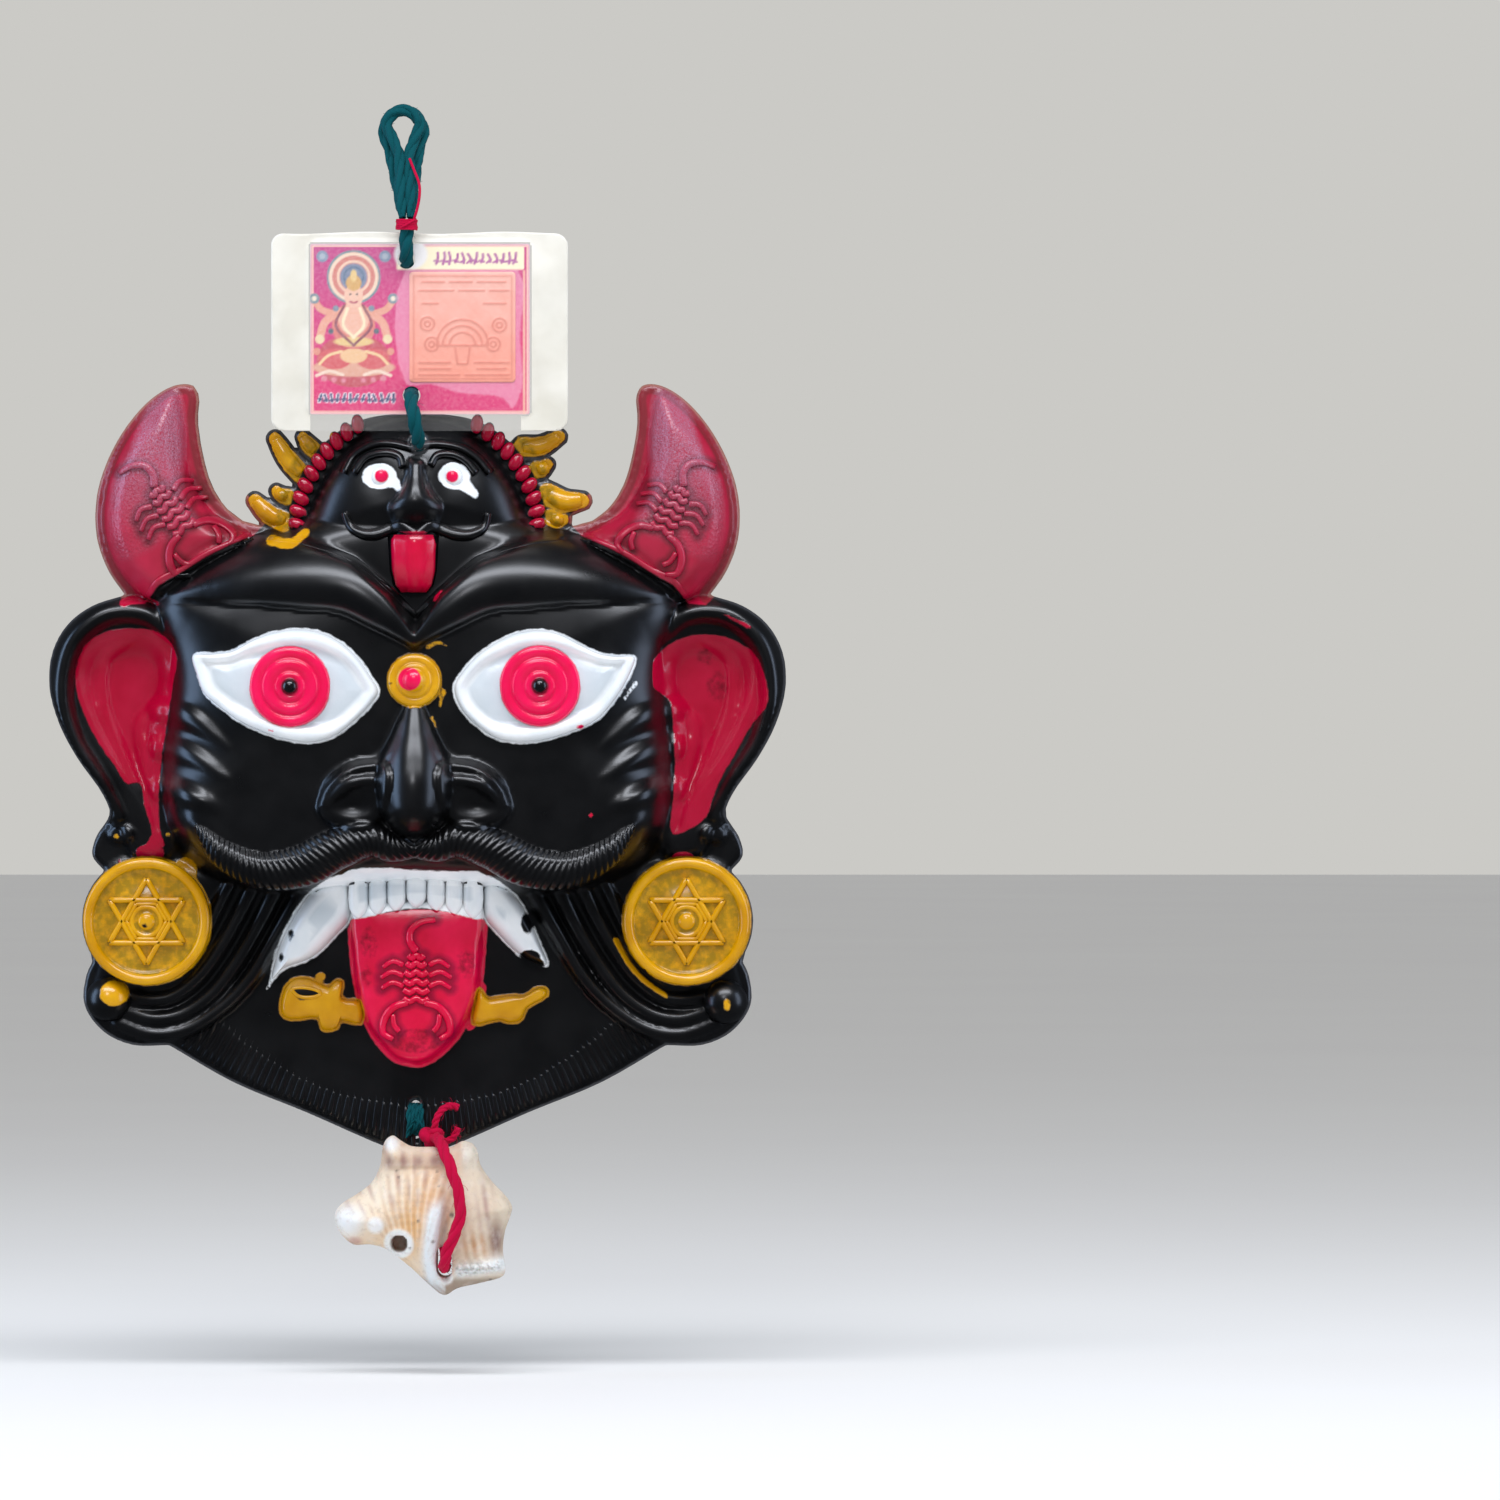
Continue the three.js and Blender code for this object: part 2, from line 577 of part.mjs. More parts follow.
const bindingFoot = 146;
const bindingTop = 149.8;
const bindingPlace = [-3, 17.2]; // the binding's axis: x, depth
const loopTop = -maskDatum;

const cordRoute = [
  [0.8, 76.8, 8.9], [0.8, 77, 11], [0.8, 77.2, 14], [0.8, 77.6, 17.2], [0.6, 79.2, 20.6], [0.2, 82, 23.2],
  [-0.4, 85.3, 24.2], [-1, 88.6, 23], [-1.4, 91.2, 20.2], [-1.6, 92.6, 16.6], [-1.6, 92.9, 13.2],
  [-1.6, 93.3, 10.2], [-1.7, 94.9, 6.8], [-1.9, 97.9, 4.3], [-2.1, 102, 3.3], [-2.4, 109, 3.1],
  [-2.7, 117, 3.1], [-3, 125, 3.2], [-3.15, 130, 4], [-3.25, 133.7, 6.4], [-3.3, 136, 9.8],
  [-3.3, 136.9, 12.9], [-3.25, 138.6, 15.8], [-3.1, 141.6, 17.2], [-3, 145.4, 17.2],
  [-3, bindingTop - 0.4, 17.2],
];

/** A strand of the loop: up from the binding, round the nail and down again. */
function strandRoute(spreads, radius, offset) {
  const rise = loopTop + strandSize / 2 - radius;
  const climb = z => Math.min(1, (z - bindingTop) / (rise - bindingTop));
  const middle = z => THREE.MathUtils.lerp(bindingPlace[0], -maskAxis, climb(z));
  const depth = z => THREE.MathUtils.lerp(bindingPlace[1], nailStandOff, climb(z)) + offset;
  const leg = sign => loopLevels.map((z, i) => [middle(z) + sign * spreads[i], z, depth(z)]);
  const fold = Array.from({ length: 9 }, (_, k) => {
    const turn = (k / 8) * Math.PI;
    return [-maskAxis - radius * Math.cos(turn), rise + radius * Math.sin(turn), nailStandOff + offset];
  });
  return [...leg(-1), ...fold, ...leg(1).reverse()];
}

const loopLevels = [bindingTop + reveal, 153, 157, 162, 167, 172];
const halfGap = 1.55; // half the distance between the middles of two strands
const frontRoute = strandRoute([1.45, 1.45, 1.45, 1.45, 1.5, 1.9], 5.2, halfGap);
const backRoute = strandRoute([1.45, 1.6, 2.2, 3.0, 3.9, 4.7], 6.6, -halfGap);

const stitchRoute = [[-0.6, -138.4, 1.2], [-0.6, -138.5, 3.6], [-0.6, -139.2, 6], [-0.6, -141.2, 7.8],
  [-0.6, -143, 8.2], [-0.6, -144.8, 7.8], [-0.6, -146.8, 6], [-0.6, -147.5, 3.6], [-0.6, -147.6, 1.2]];

// Shell: its outline from the front, and the tie that goes round it

const shellEdge = smooth([[-11.5, -156], [-11, -149.5], [-8, -147.6], [-5, -149.6], [-1, -151.8],
  [10, -152.4], [16, -149.4], [19.6, -151.6], [21.6, -158], [27.5, -166.4], [31.2, -170.2],
  [29.5, -174.4], [28, -181], [28, -187], [29, -192], [21, -195.4], [13, -197], [8.8, -199.3],
  [4.5, -196.4], [-5, -187.8], [-12, -183.2], [-20, -182.8], [-25.4, -177.5], [-25.8, -171.4],
  [-19.5, -167.2], [-14.4, -162.2]], 1).reverse();
const shellHeart = [[-4, -168], [10, -176], [14, -184]].map(p => new THREE.Vector2(...p));
const shellLevels = [[0.75, 7], [0.4, 8], [0.15, 11], [0, 17], [0.1, 23], [0.3, 28], [0.7, 30.5]];
const tieSlot = [9.6, -183.5, -193, 3.2]; // the slit for the tie: x, top, bottom, half width

function shellGeometry() {
  const ring = ([share, depth]) => shellEdge.map(p => {
    const inward = nearest(p, shellHeart).sub(p).multiplyScalar(share);
    return spot(p.x + inward.x, p.y + inward.y, depth);
  });
  const body = loft(shellLevels.map(ring));
  const [x, top, bottom, half] = tieSlot;
  const slit = circle(x, 0, half, 10)
    .map(p => new THREE.Vector2(p.x, p.y > 0 ? p.y + top - half : p.y + bottom + half));
  const drilled = drill(-4.6, -183, 4.8, 12, 50);
  return geometryOf(body.subtract(plate(slit, 0, 40)).subtract(drilled));
}

const knotPlace = [4.4, -148.9, 7.7];
const tieRoute = [
  [5.9, -148.6, 10.8], [6.8, -148.6, 14], [7.4, -148.8, 18.5], [8.2, -149.6, 23.5], [9.6, -152.2, 28.6],
  [11.8, -157.4, 32.4], [14, -164, 33.6], [15, -170.5, 33.6], [14, -176.5, 33.4], [11.6, -182, 33.2],
  [10, -186.6, 31.6], [9.4, -189.4, 27.4], [9.4, -190, 22], [9.4, -190, 15], [9.4, -189.4, 9.6],
  [9.2, -186.6, 5.6], [8.6, -181, 4.2], [7.8, -174, 4.2], [6.8, -167, 4.2], [5.8, -161, 4.4],
  [4.9, -156.4, 5.2], [4.2, -153, 5.8],
];

// The finished object

function painted(color, roughness, metalness = 0) {
  return new THREE.MeshStandardMaterial({ color, roughness, metalness });
}

const blackPlastic = painted(0x1a1a1c, 0.35);
const clearFilm = painted(0xe9e6dc, 0.2);
const printedCard = painted(0xd93a86, 0.6);
const copperFoil = painted(0xf0a183, 0.4, 0.6);
const greenWool = painted(0x00685f, 0.95);
const redWool = painted(0xb0002f, 0.95);
const seaShell = painted(0xdcc3a8, 0.6);

function named(name, geometry, material) {
  const mesh = new THREE.Mesh(geometry, material);
  mesh.name = name;
  return mesh;
}

const cordMesh = (name, route, size, steps, material) => named(
  name, cordGeometry(route.map(([x, z, depth]) => spot(x, z, depth)), size, steps), material);

function knot(name, [x, z, depth], radius, material) {
  const mesh = named(name, new THREE.IcosahedronGeometry(radius, 1), material);
  mesh.position.copy(spot(x, z, depth));
  return mesh;
}

/** Red thread wound round the cord under the loop. */
function bindingGeometry() {
  const [inner, outer] = [cordSize / 2 + reveal + 0.1, cordSize / 2 + 1.3];
  const profile = [[inner, 0], [outer, 0.3], [outer, 3.5], [inner, 3.8], [inner, 0]];
  const geometry = new THREE.LatheGeometry(profile.map(([r, h]) => new THREE.Vector2(r, h)), 16);
  geometry.rotateX(Math.PI / 2);
  return geometry.translate(bindingPlace[0], -bindingPlace[1], bindingFoot);
}

const mask = new THREE.Group();
mask.position.set(maskAxis, nailStandOff, maskDatum);
mask.add(
  named('mask_shell', maskGeometry(), blackPlastic),
  named('laminate_pouch', pouchGeometry(), clearFilm),
  named('printed_card', cardGeometry(), printedCard),
  named('copper_foil', foilGeometry(), copperFoil),
  cordMesh('hanging_cord', cordRoute, cordSize, 26, greenWool),
  cordMesh('loop_strand_front', frontRoute, strandSize, 18, greenWool),
  cordMesh('loop_strand_back', backRoute, strandSize, 19, greenWool),
  named('red_binding', bindingGeometry(), redWool),
  cordMesh('beard_stitch', stitchRoute, stitchSize, 8, greenWool),
  cordMesh('shell_tie', tieRoute, tieSize, 24, redWool),
  knot('cord_knot', [0.8, 76.6, 6], 2.5, greenWool),
  knot('tie_knot', knotPlace, 3, redWool),
  named('sea_shell', shellGeometry(), seaShell),
);

export default mask;
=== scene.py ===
# A demon face wall mask of moulded black plastic, painted by hand, with a laminated card on its
# hanging cord above it and a sea shell tied on below it. The scene is in metres, in the packed
# model's frame. Places on the mask are (x, z, depth) in millimetres: x and z from the spot between
# its eyes, and depth off the wall.

import math
import random

import bmesh
import bpy
import numpy as np
from mathutils import Matrix, Vector


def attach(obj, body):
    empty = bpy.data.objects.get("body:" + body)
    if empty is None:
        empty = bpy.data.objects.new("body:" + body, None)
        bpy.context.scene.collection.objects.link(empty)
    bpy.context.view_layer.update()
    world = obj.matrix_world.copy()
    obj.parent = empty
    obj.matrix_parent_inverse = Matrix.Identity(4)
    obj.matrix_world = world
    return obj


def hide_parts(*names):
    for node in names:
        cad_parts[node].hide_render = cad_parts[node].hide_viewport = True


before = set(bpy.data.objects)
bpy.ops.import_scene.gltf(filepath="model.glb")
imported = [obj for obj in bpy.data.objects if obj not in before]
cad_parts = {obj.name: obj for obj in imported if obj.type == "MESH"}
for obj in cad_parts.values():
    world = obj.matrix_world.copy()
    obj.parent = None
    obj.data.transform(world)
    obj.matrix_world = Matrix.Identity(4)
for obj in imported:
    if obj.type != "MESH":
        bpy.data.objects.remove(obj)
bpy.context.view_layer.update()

# The room: a pale floor below the hanging mask, under big soft lights. The camera is level with
# the picture's middle and three metres off, so the mask is seen straight on, as it was taken.

view_distance = 3.0
picture_width = 0.4885  # what the picture covers, side to side, at the mask
picture_middle = (0.1129, -0.2070)
floor_level = -0.41


def linear(colour):
    """An sRGB hex colour as linear red, green, blue and alpha."""
    parts = [int(colour[i:i + 2], 16) / 255 for i in (1, 3, 5)]
    return [c / 12.92 if c <= 0.04045 else ((c + 0.055) / 1.055) ** 2.4 for c in parts] + [1]


def add(tree, kind, values, socket=0):
    """Adds a node with its settings and links, and gives one of its outputs."""
    made = tree.nodes.new("ShaderNode" + kind)
    for name, value in values.items():
        if not isinstance(name, int) and name not in made.inputs:
            setattr(made, name, value)
        elif isinstance(value, bpy.types.NodeSocket):
            tree.links.new(value, made.inputs[name])
        else:
            made.inputs[name].default_value = value
    return made.outputs[socket]


def material_of(name, settings):
    """A new material with its nodes and its shader, which starts from the given values."""
    made = bpy.data.materials.new(name)
    made.use_nodes = True
    shader = made.node_tree.nodes["Principled BSDF"]
    for socket, value in settings.items():
        shader.inputs[socket].default_value = value
    return made, made.node_tree, shader


def soft_light(name, place, aim, size, watts, tint):
    data = bpy.data.lights.new(name, "AREA")
    data.shape = "RECTANGLE"
    data.size, data.size_y = size
    data.energy = watts
    data.color = linear(tint)[:3]
    light = bpy.data.objects.new(name, data)
    light.location = place
    light.rotation_euler = (Vector(aim) - Vector(place)).to_track_quat("-Z", "Y").to_euler()
    bpy.context.scene.collection.objects.link(light)


bpy.context.scene.view_settings.view_transform = "Standard"

lens = bpy.data.cameras.new("camera")
lens.sensor_width = 36
lens.lens = lens.sensor_width * view_distance / picture_width
camera = bpy.data.objects.new("camera", lens)
camera.location = (picture_middle[0], -view_distance, picture_middle[1])
camera.rotation_euler = (math.radians(90), 0, 0)
bpy.context.scene.collection.objects.link(camera)
bpy.context.scene.camera = camera

mask_middle = (0.0045, 0, -0.19)
soft_light("window_above", (0.05, -0.72, 1.0), mask_middle, (1.5, 0.4), 16, "#f2f6ff")
soft_light("window_left", (-1.25, -0.12, 0.0), mask_middle, (0.5, 1.2), 6.5, "#b4d4ff")
soft_light("window_right", (1.35, -0.2, 0.05), mask_middle, (0.5, 1.2), 4.5, "#cfe1ff")
soft_light("front_window", (-0.15, -1.9, 0.95), mask_middle, (0.5, 0.4), 5.5, "#f6f8ff")

# The room's walls: what the camera sees, what lights the room, and what shows in gloss
sky = bpy.data.worlds.new("studio")
bpy.context.scene.world = sky
sky.use_nodes = True
room = sky.node_tree
on_matt = add(room, "LightPath", {}, "Is Diffuse Ray")
on_camera = add(room, "LightPath", {}, "Is Camera Ray")
lit = add(room, "MixRGB", {"Color1": linear("#3a3d42"), "Color2": linear("#bdbec0"), "Fac": on_matt})
seen = add(room, "MixRGB", {"Color1": lit, "Color2": linear("#cbcac6"), "Fac": on_camera})
room.links.new(seen, room.nodes["Background"].inputs["Color"])

# Matt painted board, rolled on: a faint mottle keeps it from looking flat
floor_paint, tree, shader = material_of("matt floor paint", {"Roughness": 0.9, "Specular IOR Level": 0.2})
object_place = add(tree, "TexCoord", {}, "Object")
mottle = add(tree, "TexNoise", {"Vector": object_place, "Scale": 3.0, "Detail": 3.0})
shade = add(tree, "MixRGB", {"Color1": linear("#efedea"), "Color2": linear("#f3f2ee"), "Fac": mottle})
tree.links.new(shade, shader.inputs["Base Color"])

bm = bmesh.new()
bmesh.ops.create_grid(bm, x_segments=1, y_segments=1, size=12)
bmesh.ops.translate(bm, verts=bm.verts, vec=(0, 0, floor_level))
floor_mesh = bpy.data.meshes.new("floor")
bm.to_mesh(floor_mesh)
bm.free()
floor_mesh.materials.append(floor_paint)
floor = bpy.data.objects.new("floor", floor_mesh)
floor.visible_glossy = False  # the real room was dark, so the mask's gloss doesn't show the floor
bpy.context.scene.collection.objects.link(floor)

# The green cord: teal wool laid up in plies. It is knotted behind the small head, comes out through
# a hole in it, threads the card up its back, and parts into the two strands of the loop on the nail.

mask_axis = 4.5  # the mask's middle line, right of the nail
mask_datum = -184.5  # the spot between the eyes, below the nail
nail_stand_off = 6  # the nail's bearing point, off the wall
cord_size = 5
strand_size = 2.6


def spot(x, z, depth):
    """A place on the mask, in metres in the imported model's frame."""
    return Vector((x + mask_axis, nail_stand_off - depth, z + mask_datum)) / 1000


def smooth_line(points, steps, closed=False):
    """An evenly flowing line through points of 2 or 3 numbers, with steps from one to the next."""
    through = np.array(points, float)
    count = len(through)
    line = []
    for i in range(count if closed else count - 1):
        near, far = through[i], through[(i + 1) % count]
        before = through[i - 1] if closed or i else 2 * near - far
        after = through[(i + 2) % count] if closed or i + 2 < count else 2 * far - near
        d0, d1, d2 = (max(np.linalg.norm(b - a), 1e-9) ** 0.5
                      for a, b in ((before, near), (near, far), (far, after)))
        leave = d1 * ((near - before) / d0 - (far - before) / (d0 + d1) + (far - near) / d1)
        arrive = d1 * ((far - near) / d1 - (after - near) / (d1 + d2) + (after - far) / d2)
        for t in np.arange(steps) / steps:
            line.append((2 * t ** 3 - 3 * t ** 2 + 1) * near + (t ** 3 - 2 * t ** 2 + t) * leave
                        + (3 * t ** 2 - 2 * t ** 3) * far + (t ** 3 - t ** 2) * arrive)
    if not closed:
        line.append(through[-1])
    return np.array(line)


def even_line(line, spacing):
    """The same line with its points an even distance apart."""
    steps = np.linalg.norm(np.diff(line, axis=0), axis=1)
    gone = np.concatenate([[0], np.cumsum(steps)])
    stops = np.linspace(0, gone[-1], max(2, round(gone[-1] / spacing) + 1))
    return np.stack([np.interp(stops, gone, line[:, k]) for k in range(line.shape[1])], axis=1)


def length_of(line):
    return float(np.linalg.norm(np.diff(line, axis=0), axis=1).sum())


def bent_grid(bm, across, along, place):
    """A grid of faces whose vertices move to place(column, row); its UVs run from 0 to 1."""
    bm.loops.layers.uv.verify()
    made = bmesh.ops.create_grid(bm, x_segments=across, y_segments=along, size=0.5, calc_uvs=True)["verts"]
    for vert in made:
        vert.co = place(round((vert.co.x + 0.5) * across), round((vert.co.y + 0.5) * along))
    return made


def frames_along(line):
    """For each point of a line in space, two directions across it that turn as little as they can."""
    ahead = np.gradient(line, axis=0)
    ahead /= np.linalg.norm(ahead, axis=1)[:, None]
    side = np.cross(ahead[0], [0.3, 0.9, 0.2])
    sides = []
    for direction in ahead:
        side = side - direction * side.dot(direction)
        side /= np.linalg.norm(side)
        sides.append(side)
    return np.array(sides), np.cross(ahead, np.array(sides))


def add_tube(bm, line, radius, around=10, lie=None, wobble=None):
    """A round tube with closed ends along a line in millimetres on the mask. lie(i) shifts its
    middle across the line, and wobble(i, turn) changes its radius."""
    sides, ups = frames_along(line)
    last = len(line) + 1

    def place(column, row):
        i = min(max(row - 1, 0), len(line) - 1)
        shift = lie(i) if lie else (0, 0)
        size = 0 if row in (0, last) else radius
        turn = 2 * math.pi * column / around
        if wobble and size:
            size *= wobble(i, turn)
        a, b = shift[0] + size * math.cos(turn), shift[1] + size * math.sin(turn)
        return spot(*(line[i] + sides[i] * a + ups[i] * b))

    bent_grid(bm, around, last, place)


def finished(bm, name, materials, smooth=True):
    """Closes seams and poles, turns faces outwards and gives the piece its object."""
    bmesh.ops.remove_doubles(bm, verts=bm.verts, dist=2e-6)
    bmesh.ops.dissolve_degenerate(bm, edges=bm.edges, dist=1e-7)
    bmesh.ops.recalc_face_normals(bm, faces=bm.faces)
    mesh = bpy.data.meshes.new(name)
    bm.to_mesh(mesh)
    bm.free()
    for material in materials:
        mesh.materials.append(material)
    if smooth:
        mesh.shade_smooth()
    made = bpy.data.objects.new(name, mesh)
    bpy.context.scene.collection.objects.link(made)
    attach(made, "root")
    return made


def wool(name, dark, light):
    """Twisted wool yarn: the spinning lays soft fibres in slanted plies, and loose hairs catch light."""
    made, tree, shader = material_of(name, {"Roughness": 0.85, "Sheen Weight": 0.03, "Sheen Roughness": 0.4,
                                            "Specular IOR Level": 0.15})
    uv = add(tree, "UVMap", {"uv_map": "UVMap"})
    slanted = add(tree, "Mapping", {"Vector": uv, "Rotation": (0, 0, 0.45), "Scale": (3.0, 60.0, 1.0)})
    plies = add(tree, "TexWave", {"Vector": slanted, "bands_direction": "Y", "Scale": 1.0, "Distortion": 1.6,
                                  "Detail": 2.0, "Detail Scale": 2.5}, "Fac")
    object_place = add(tree, "TexCoord", {}, "Object")
    fibres = add(tree, "TexNoise", {"Vector": object_place, "Scale": 1800.0, "Detail": 4.0})
    patches = add(tree, "TexNoise", {"Vector": object_place, "Scale": 160.0, "Detail": 2.0})
    mottle = add(tree, "Math", {"operation": "MULTIPLY", 0: plies, 1: patches})
    spread = add(tree, "Math", {"operation": "MULTIPLY_ADD", 0: mottle, 1: 1.2, 2: 0.1})
    colour = add(tree, "MixRGB", {"Color1": linear(dark), "Color2": linear(light), "Fac": spread})
    tree.links.new(colour, shader.inputs["Base Color"])
    height = add(tree, "Math", {"operation": "MULTIPLY_ADD", 0: fibres, 1: 0.5, 2: plies})
    bump = add(tree, "Bump", {"Strength": 0.6, "Distance": 0.0004, "Height": height})
    tree.links.new(bump, shader.inputs["Normal"])
    return made


def add_twist(bm, line, size, lay, strands=3, start=0.0, swell=0.0):
    """Strands of wool laid round each other along a line; lay is the length of one turn, and swell
    is how much looser and fuller they are in the middle than at the two ends."""
    stations = even_line(line, 0.5)
    spacing = length_of(stations) / (len(stations) - 1)

    def fullness(i):
        ends = min(i, len(stations) - 1 - i) * spacing
        return 1 + swell * min(max((ends - 0.5) / 4, 0), 1)

    def turn(i, k):
        return start + 2 * math.pi * (i * spacing / lay + k / strands)

    for k in range(strands):
        def lie(i):
            reach = size * 0.2 * fullness(i)
            return reach * math.cos(turn(i, k)), reach * math.sin(turn(i, k))

        def uneven(i, angle):
            lumps = 0.05 * math.sin(i * 0.9 + 3 * angle) + 0.04 * math.sin(i * 0.37 + 5 * k)
            return fullness(i) * (1 + lumps)

        add_tube(bm, stations, size * 0.285, 9, lie, uneven)


def add_fibres(bm, line, reach, count, seed, length=(1.2, 3.2)):
    """Loose hairs that stand off a cord."""
    draw = random.Random(seed)
    sides, ups = frames_along(line)
    for _ in range(count):
        i = draw.randrange(1, len(line) - 1)
        turn = draw.uniform(0, 2 * math.pi)
        out = sides[i] * math.cos(turn) + ups[i] * math.sin(turn)
        along = (line[i + 1] - line[i]) / max(np.linalg.norm(line[i + 1] - line[i]), 1e-6)
        long = draw.uniform(*length)
        lean = draw.uniform(-1, 1)
        start = line[i] + out * reach * 0.8
        bend = start + out * long * 0.35 + along * lean * long * 0.4
        tip = start + out * long * draw.uniform(0.3, 0.6) + along * lean * long * 0.9
        add_tube(bm, smooth_line([start, bend, tip], 2), 0.06, 3)


teal_wool = wool("teal wool yarn", "#003d44", "#00939a")

cord_route = [(0.8, 76.8, 8.9), (0.8, 77, 11), (0.8, 77.2, 14), (0.8, 77.6, 17.2), (0.6, 79.2, 20.6),
              (0.2, 82, 23.2), (-0.4, 85.3, 24.2), (-1, 88.6, 23), (-1.4, 91.2, 20.2), (-1.6, 92.6, 16.6),
              (-1.6, 92.9, 13.2), (-1.6, 93.3, 10.2), (-1.7, 94.9, 6.8), (-1.9, 97.9, 4.3), (-2.1, 102, 3.3),
              (-2.4, 109, 3.1), (-2.7, 117, 3.1), (-3, 125, 3.2), (-3.15, 130, 4), (-3.25, 133.7, 6.4),
              (-3.3, 136, 9.8), (-3.3, 136.9, 12.9), (-3.25, 138.6, 15.8), (-3.1, 141.6, 17.2),
              (-3, 145.4, 17.2), (-3, 149.4, 17.2)]
binding_top = 149.8
binding_place = (-3, 17.2)  # the binding's axis: x and depth
loop_levels = (binding_top + 0.3, 153, 157, 162, 167, 172)
half_gap = 1.55  # half the distance between the middles of two strands


def strand_route(spreads, radius, offset):
    """A strand of the loop: up from the binding, round the nail and down again."""
    rise = -mask_datum + strand_size / 2 - radius

    def leg(sign):
        places = []
        for z, spread in zip(loop_levels, spreads):
            climb = min(1, (z - binding_top) / (rise - binding_top))
            middle = binding_place[0] + (-mask_axis - binding_place[0]) * climb
            depth = binding_place[1] + (nail_stand_off - binding_place[1]) * climb
            places.append((middle + sign * spread, z, depth + offset))
        return places

    fold = [(-mask_axis - radius * math.cos(t), rise + radius * math.sin(t), nail_stand_off + offset)
            for t in np.linspace(0, math.pi, 9)]
    return leg(-1) + fold + leg(1)[::-1]


def hung_cord(name, route, size, lay, fibres=60, start=0.0, swell=0.0, material=teal_wool):
    """A twisted cord along its route."""
    line = smooth_line(route, 8)
    bm = bmesh.new()
    add_twist(bm, line, size, lay, 3, start, swell)
    add_fibres(bm, line, size * 0.5, fibres, name)
    cord = finished(bm, name, [material])
    return cord


hanging_cord = hung_cord("green_hanging_cord", cord_route, cord_size, 22.0)
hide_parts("hanging_cord")
front_strand = hung_cord("green_loop_front", strand_route((1.2, 1.35, 1.45, 1.45, 1.5, 1.9), 5.2, half_gap),
                         strand_size, 24.0, fibres=80, swell=0.6)
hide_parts("loop_strand_front")
back_strand = hung_cord("green_loop_back", strand_route((1.45, 1.6, 2.2, 3.0, 3.9, 4.7), 6.6, -half_gap),
                        strand_size, 24.0, fibres=80, start=1.0, swell=0.5)
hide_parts("loop_strand_back")

# The red wool that holds the shell: one length of it from the knot, down in front of the shell to
# its mouth slit, in through it, and back up behind. The knot's two ends are left loose.

tie_size = 4.2
tie_route = [(5.9, -148.6, 10.8), (6.8, -148.6, 14), (7.4, -148.8, 18.5), (8.2, -149.6, 23.5),
             (9.6, -152.2, 28.6), (11.8, -157.4, 32.4), (14, -164, 33.6), (15, -170.5, 33.6),
             (14, -176.5, 33.4), (11.6, -182, 33.2), (10, -186.6, 31.6), (9.4, -189.4, 27.4), (9.4, -190, 22),
             (9.4, -190, 15), (9.4, -189.4, 9.6), (9.2, -186.6, 5.6), (8.6, -181, 4.2), (7.8, -174, 4.2),
             (6.8, -167, 4.2), (5.8, -161, 4.4), (4.9, -156.4, 5.2), (4.2, -153, 5.8)]
red_wool = wool("crimson wool yarn", "#b40034", "#ff1a60")
shell_tie = hung_cord("red_shell_tie", tie_route, tie_size, 26.0, fibres=50,
                      material=red_wool)
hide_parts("shell_tie")

# Knots, the thread binding under the loop, the stitch through the beard's foot, and loose ends.
# Each knot is the same wool drawn tight over itself.


def overhand(radius, rise, middle):
    """The line of a thread drawn into a tight overhand knot about a middle."""
    turns = np.linspace(0, 2 * math.pi, 49)
    x = radius * (np.sin(turns) + 1.6 * np.sin(2 * turns)) / 2.2
    z = radius * (np.cos(turns) - 1.6 * np.cos(2 * turns)) / 2.2
    depth = -rise * np.sin(3 * turns)
    return np.stack([x, z, depth], axis=1) + np.array(middle)


bm = bmesh.new()
add_tube(bm, overhand(1.5, 1.1, (0.8, 76.6, 6)), 0.95, 9)
add_tube(bm, smooth_line([(1.6, 75.4, 5.4), (2.6, 72.4, 4.6), (2.2, 69.6, 4.4)], 6), 0.7, 8)
back_knot = finished(bm, "green_back_knot", [teal_wool])
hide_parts("cord_knot")

stitch_route = [(-0.6, -138.4, 0.6), (-0.6, -138.5, 3.4), (-0.5, -139.4, 5.6), (-0.7, -141.2, 6.8),
                (-0.6, -143, 7.1), (-0.5, -144.8, 6.8), (-0.7, -146.6, 5.6), (-0.6, -147.5, 3.4),
                (-0.6, -147.6, 0.6)]
bm = bmesh.new()
for across in (-2.1, -0.7, 0.7, 2.1):
    bulges = across * np.sin(math.pi * (np.arange(len(stitch_route)) + 2) / 12)
    shifted = np.array(stitch_route) + bulges[:, None] * [1, 0, 0]
    add_twist(bm, smooth_line(shifted, 6), 2.0, 9.0, 2, across)
add_fibres(bm, smooth_line(stitch_route, 6), 2.0, 40, "stitch", (1.0, 2.4))
for end in ([(-2.4, -145.4, 7.4), (-3.4, -148.8, 7.0)], [(1.6, -144.6, 7.6), (2.8, -147.6, 7.0)]):
    add_twist(bm, smooth_line([(-0.6, -142.6, 7.4)] + end, 6), 1.3, 6.0, 2)
stitch = finished(bm, "green_beard_stitch", [teal_wool])
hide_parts("beard_stitch")

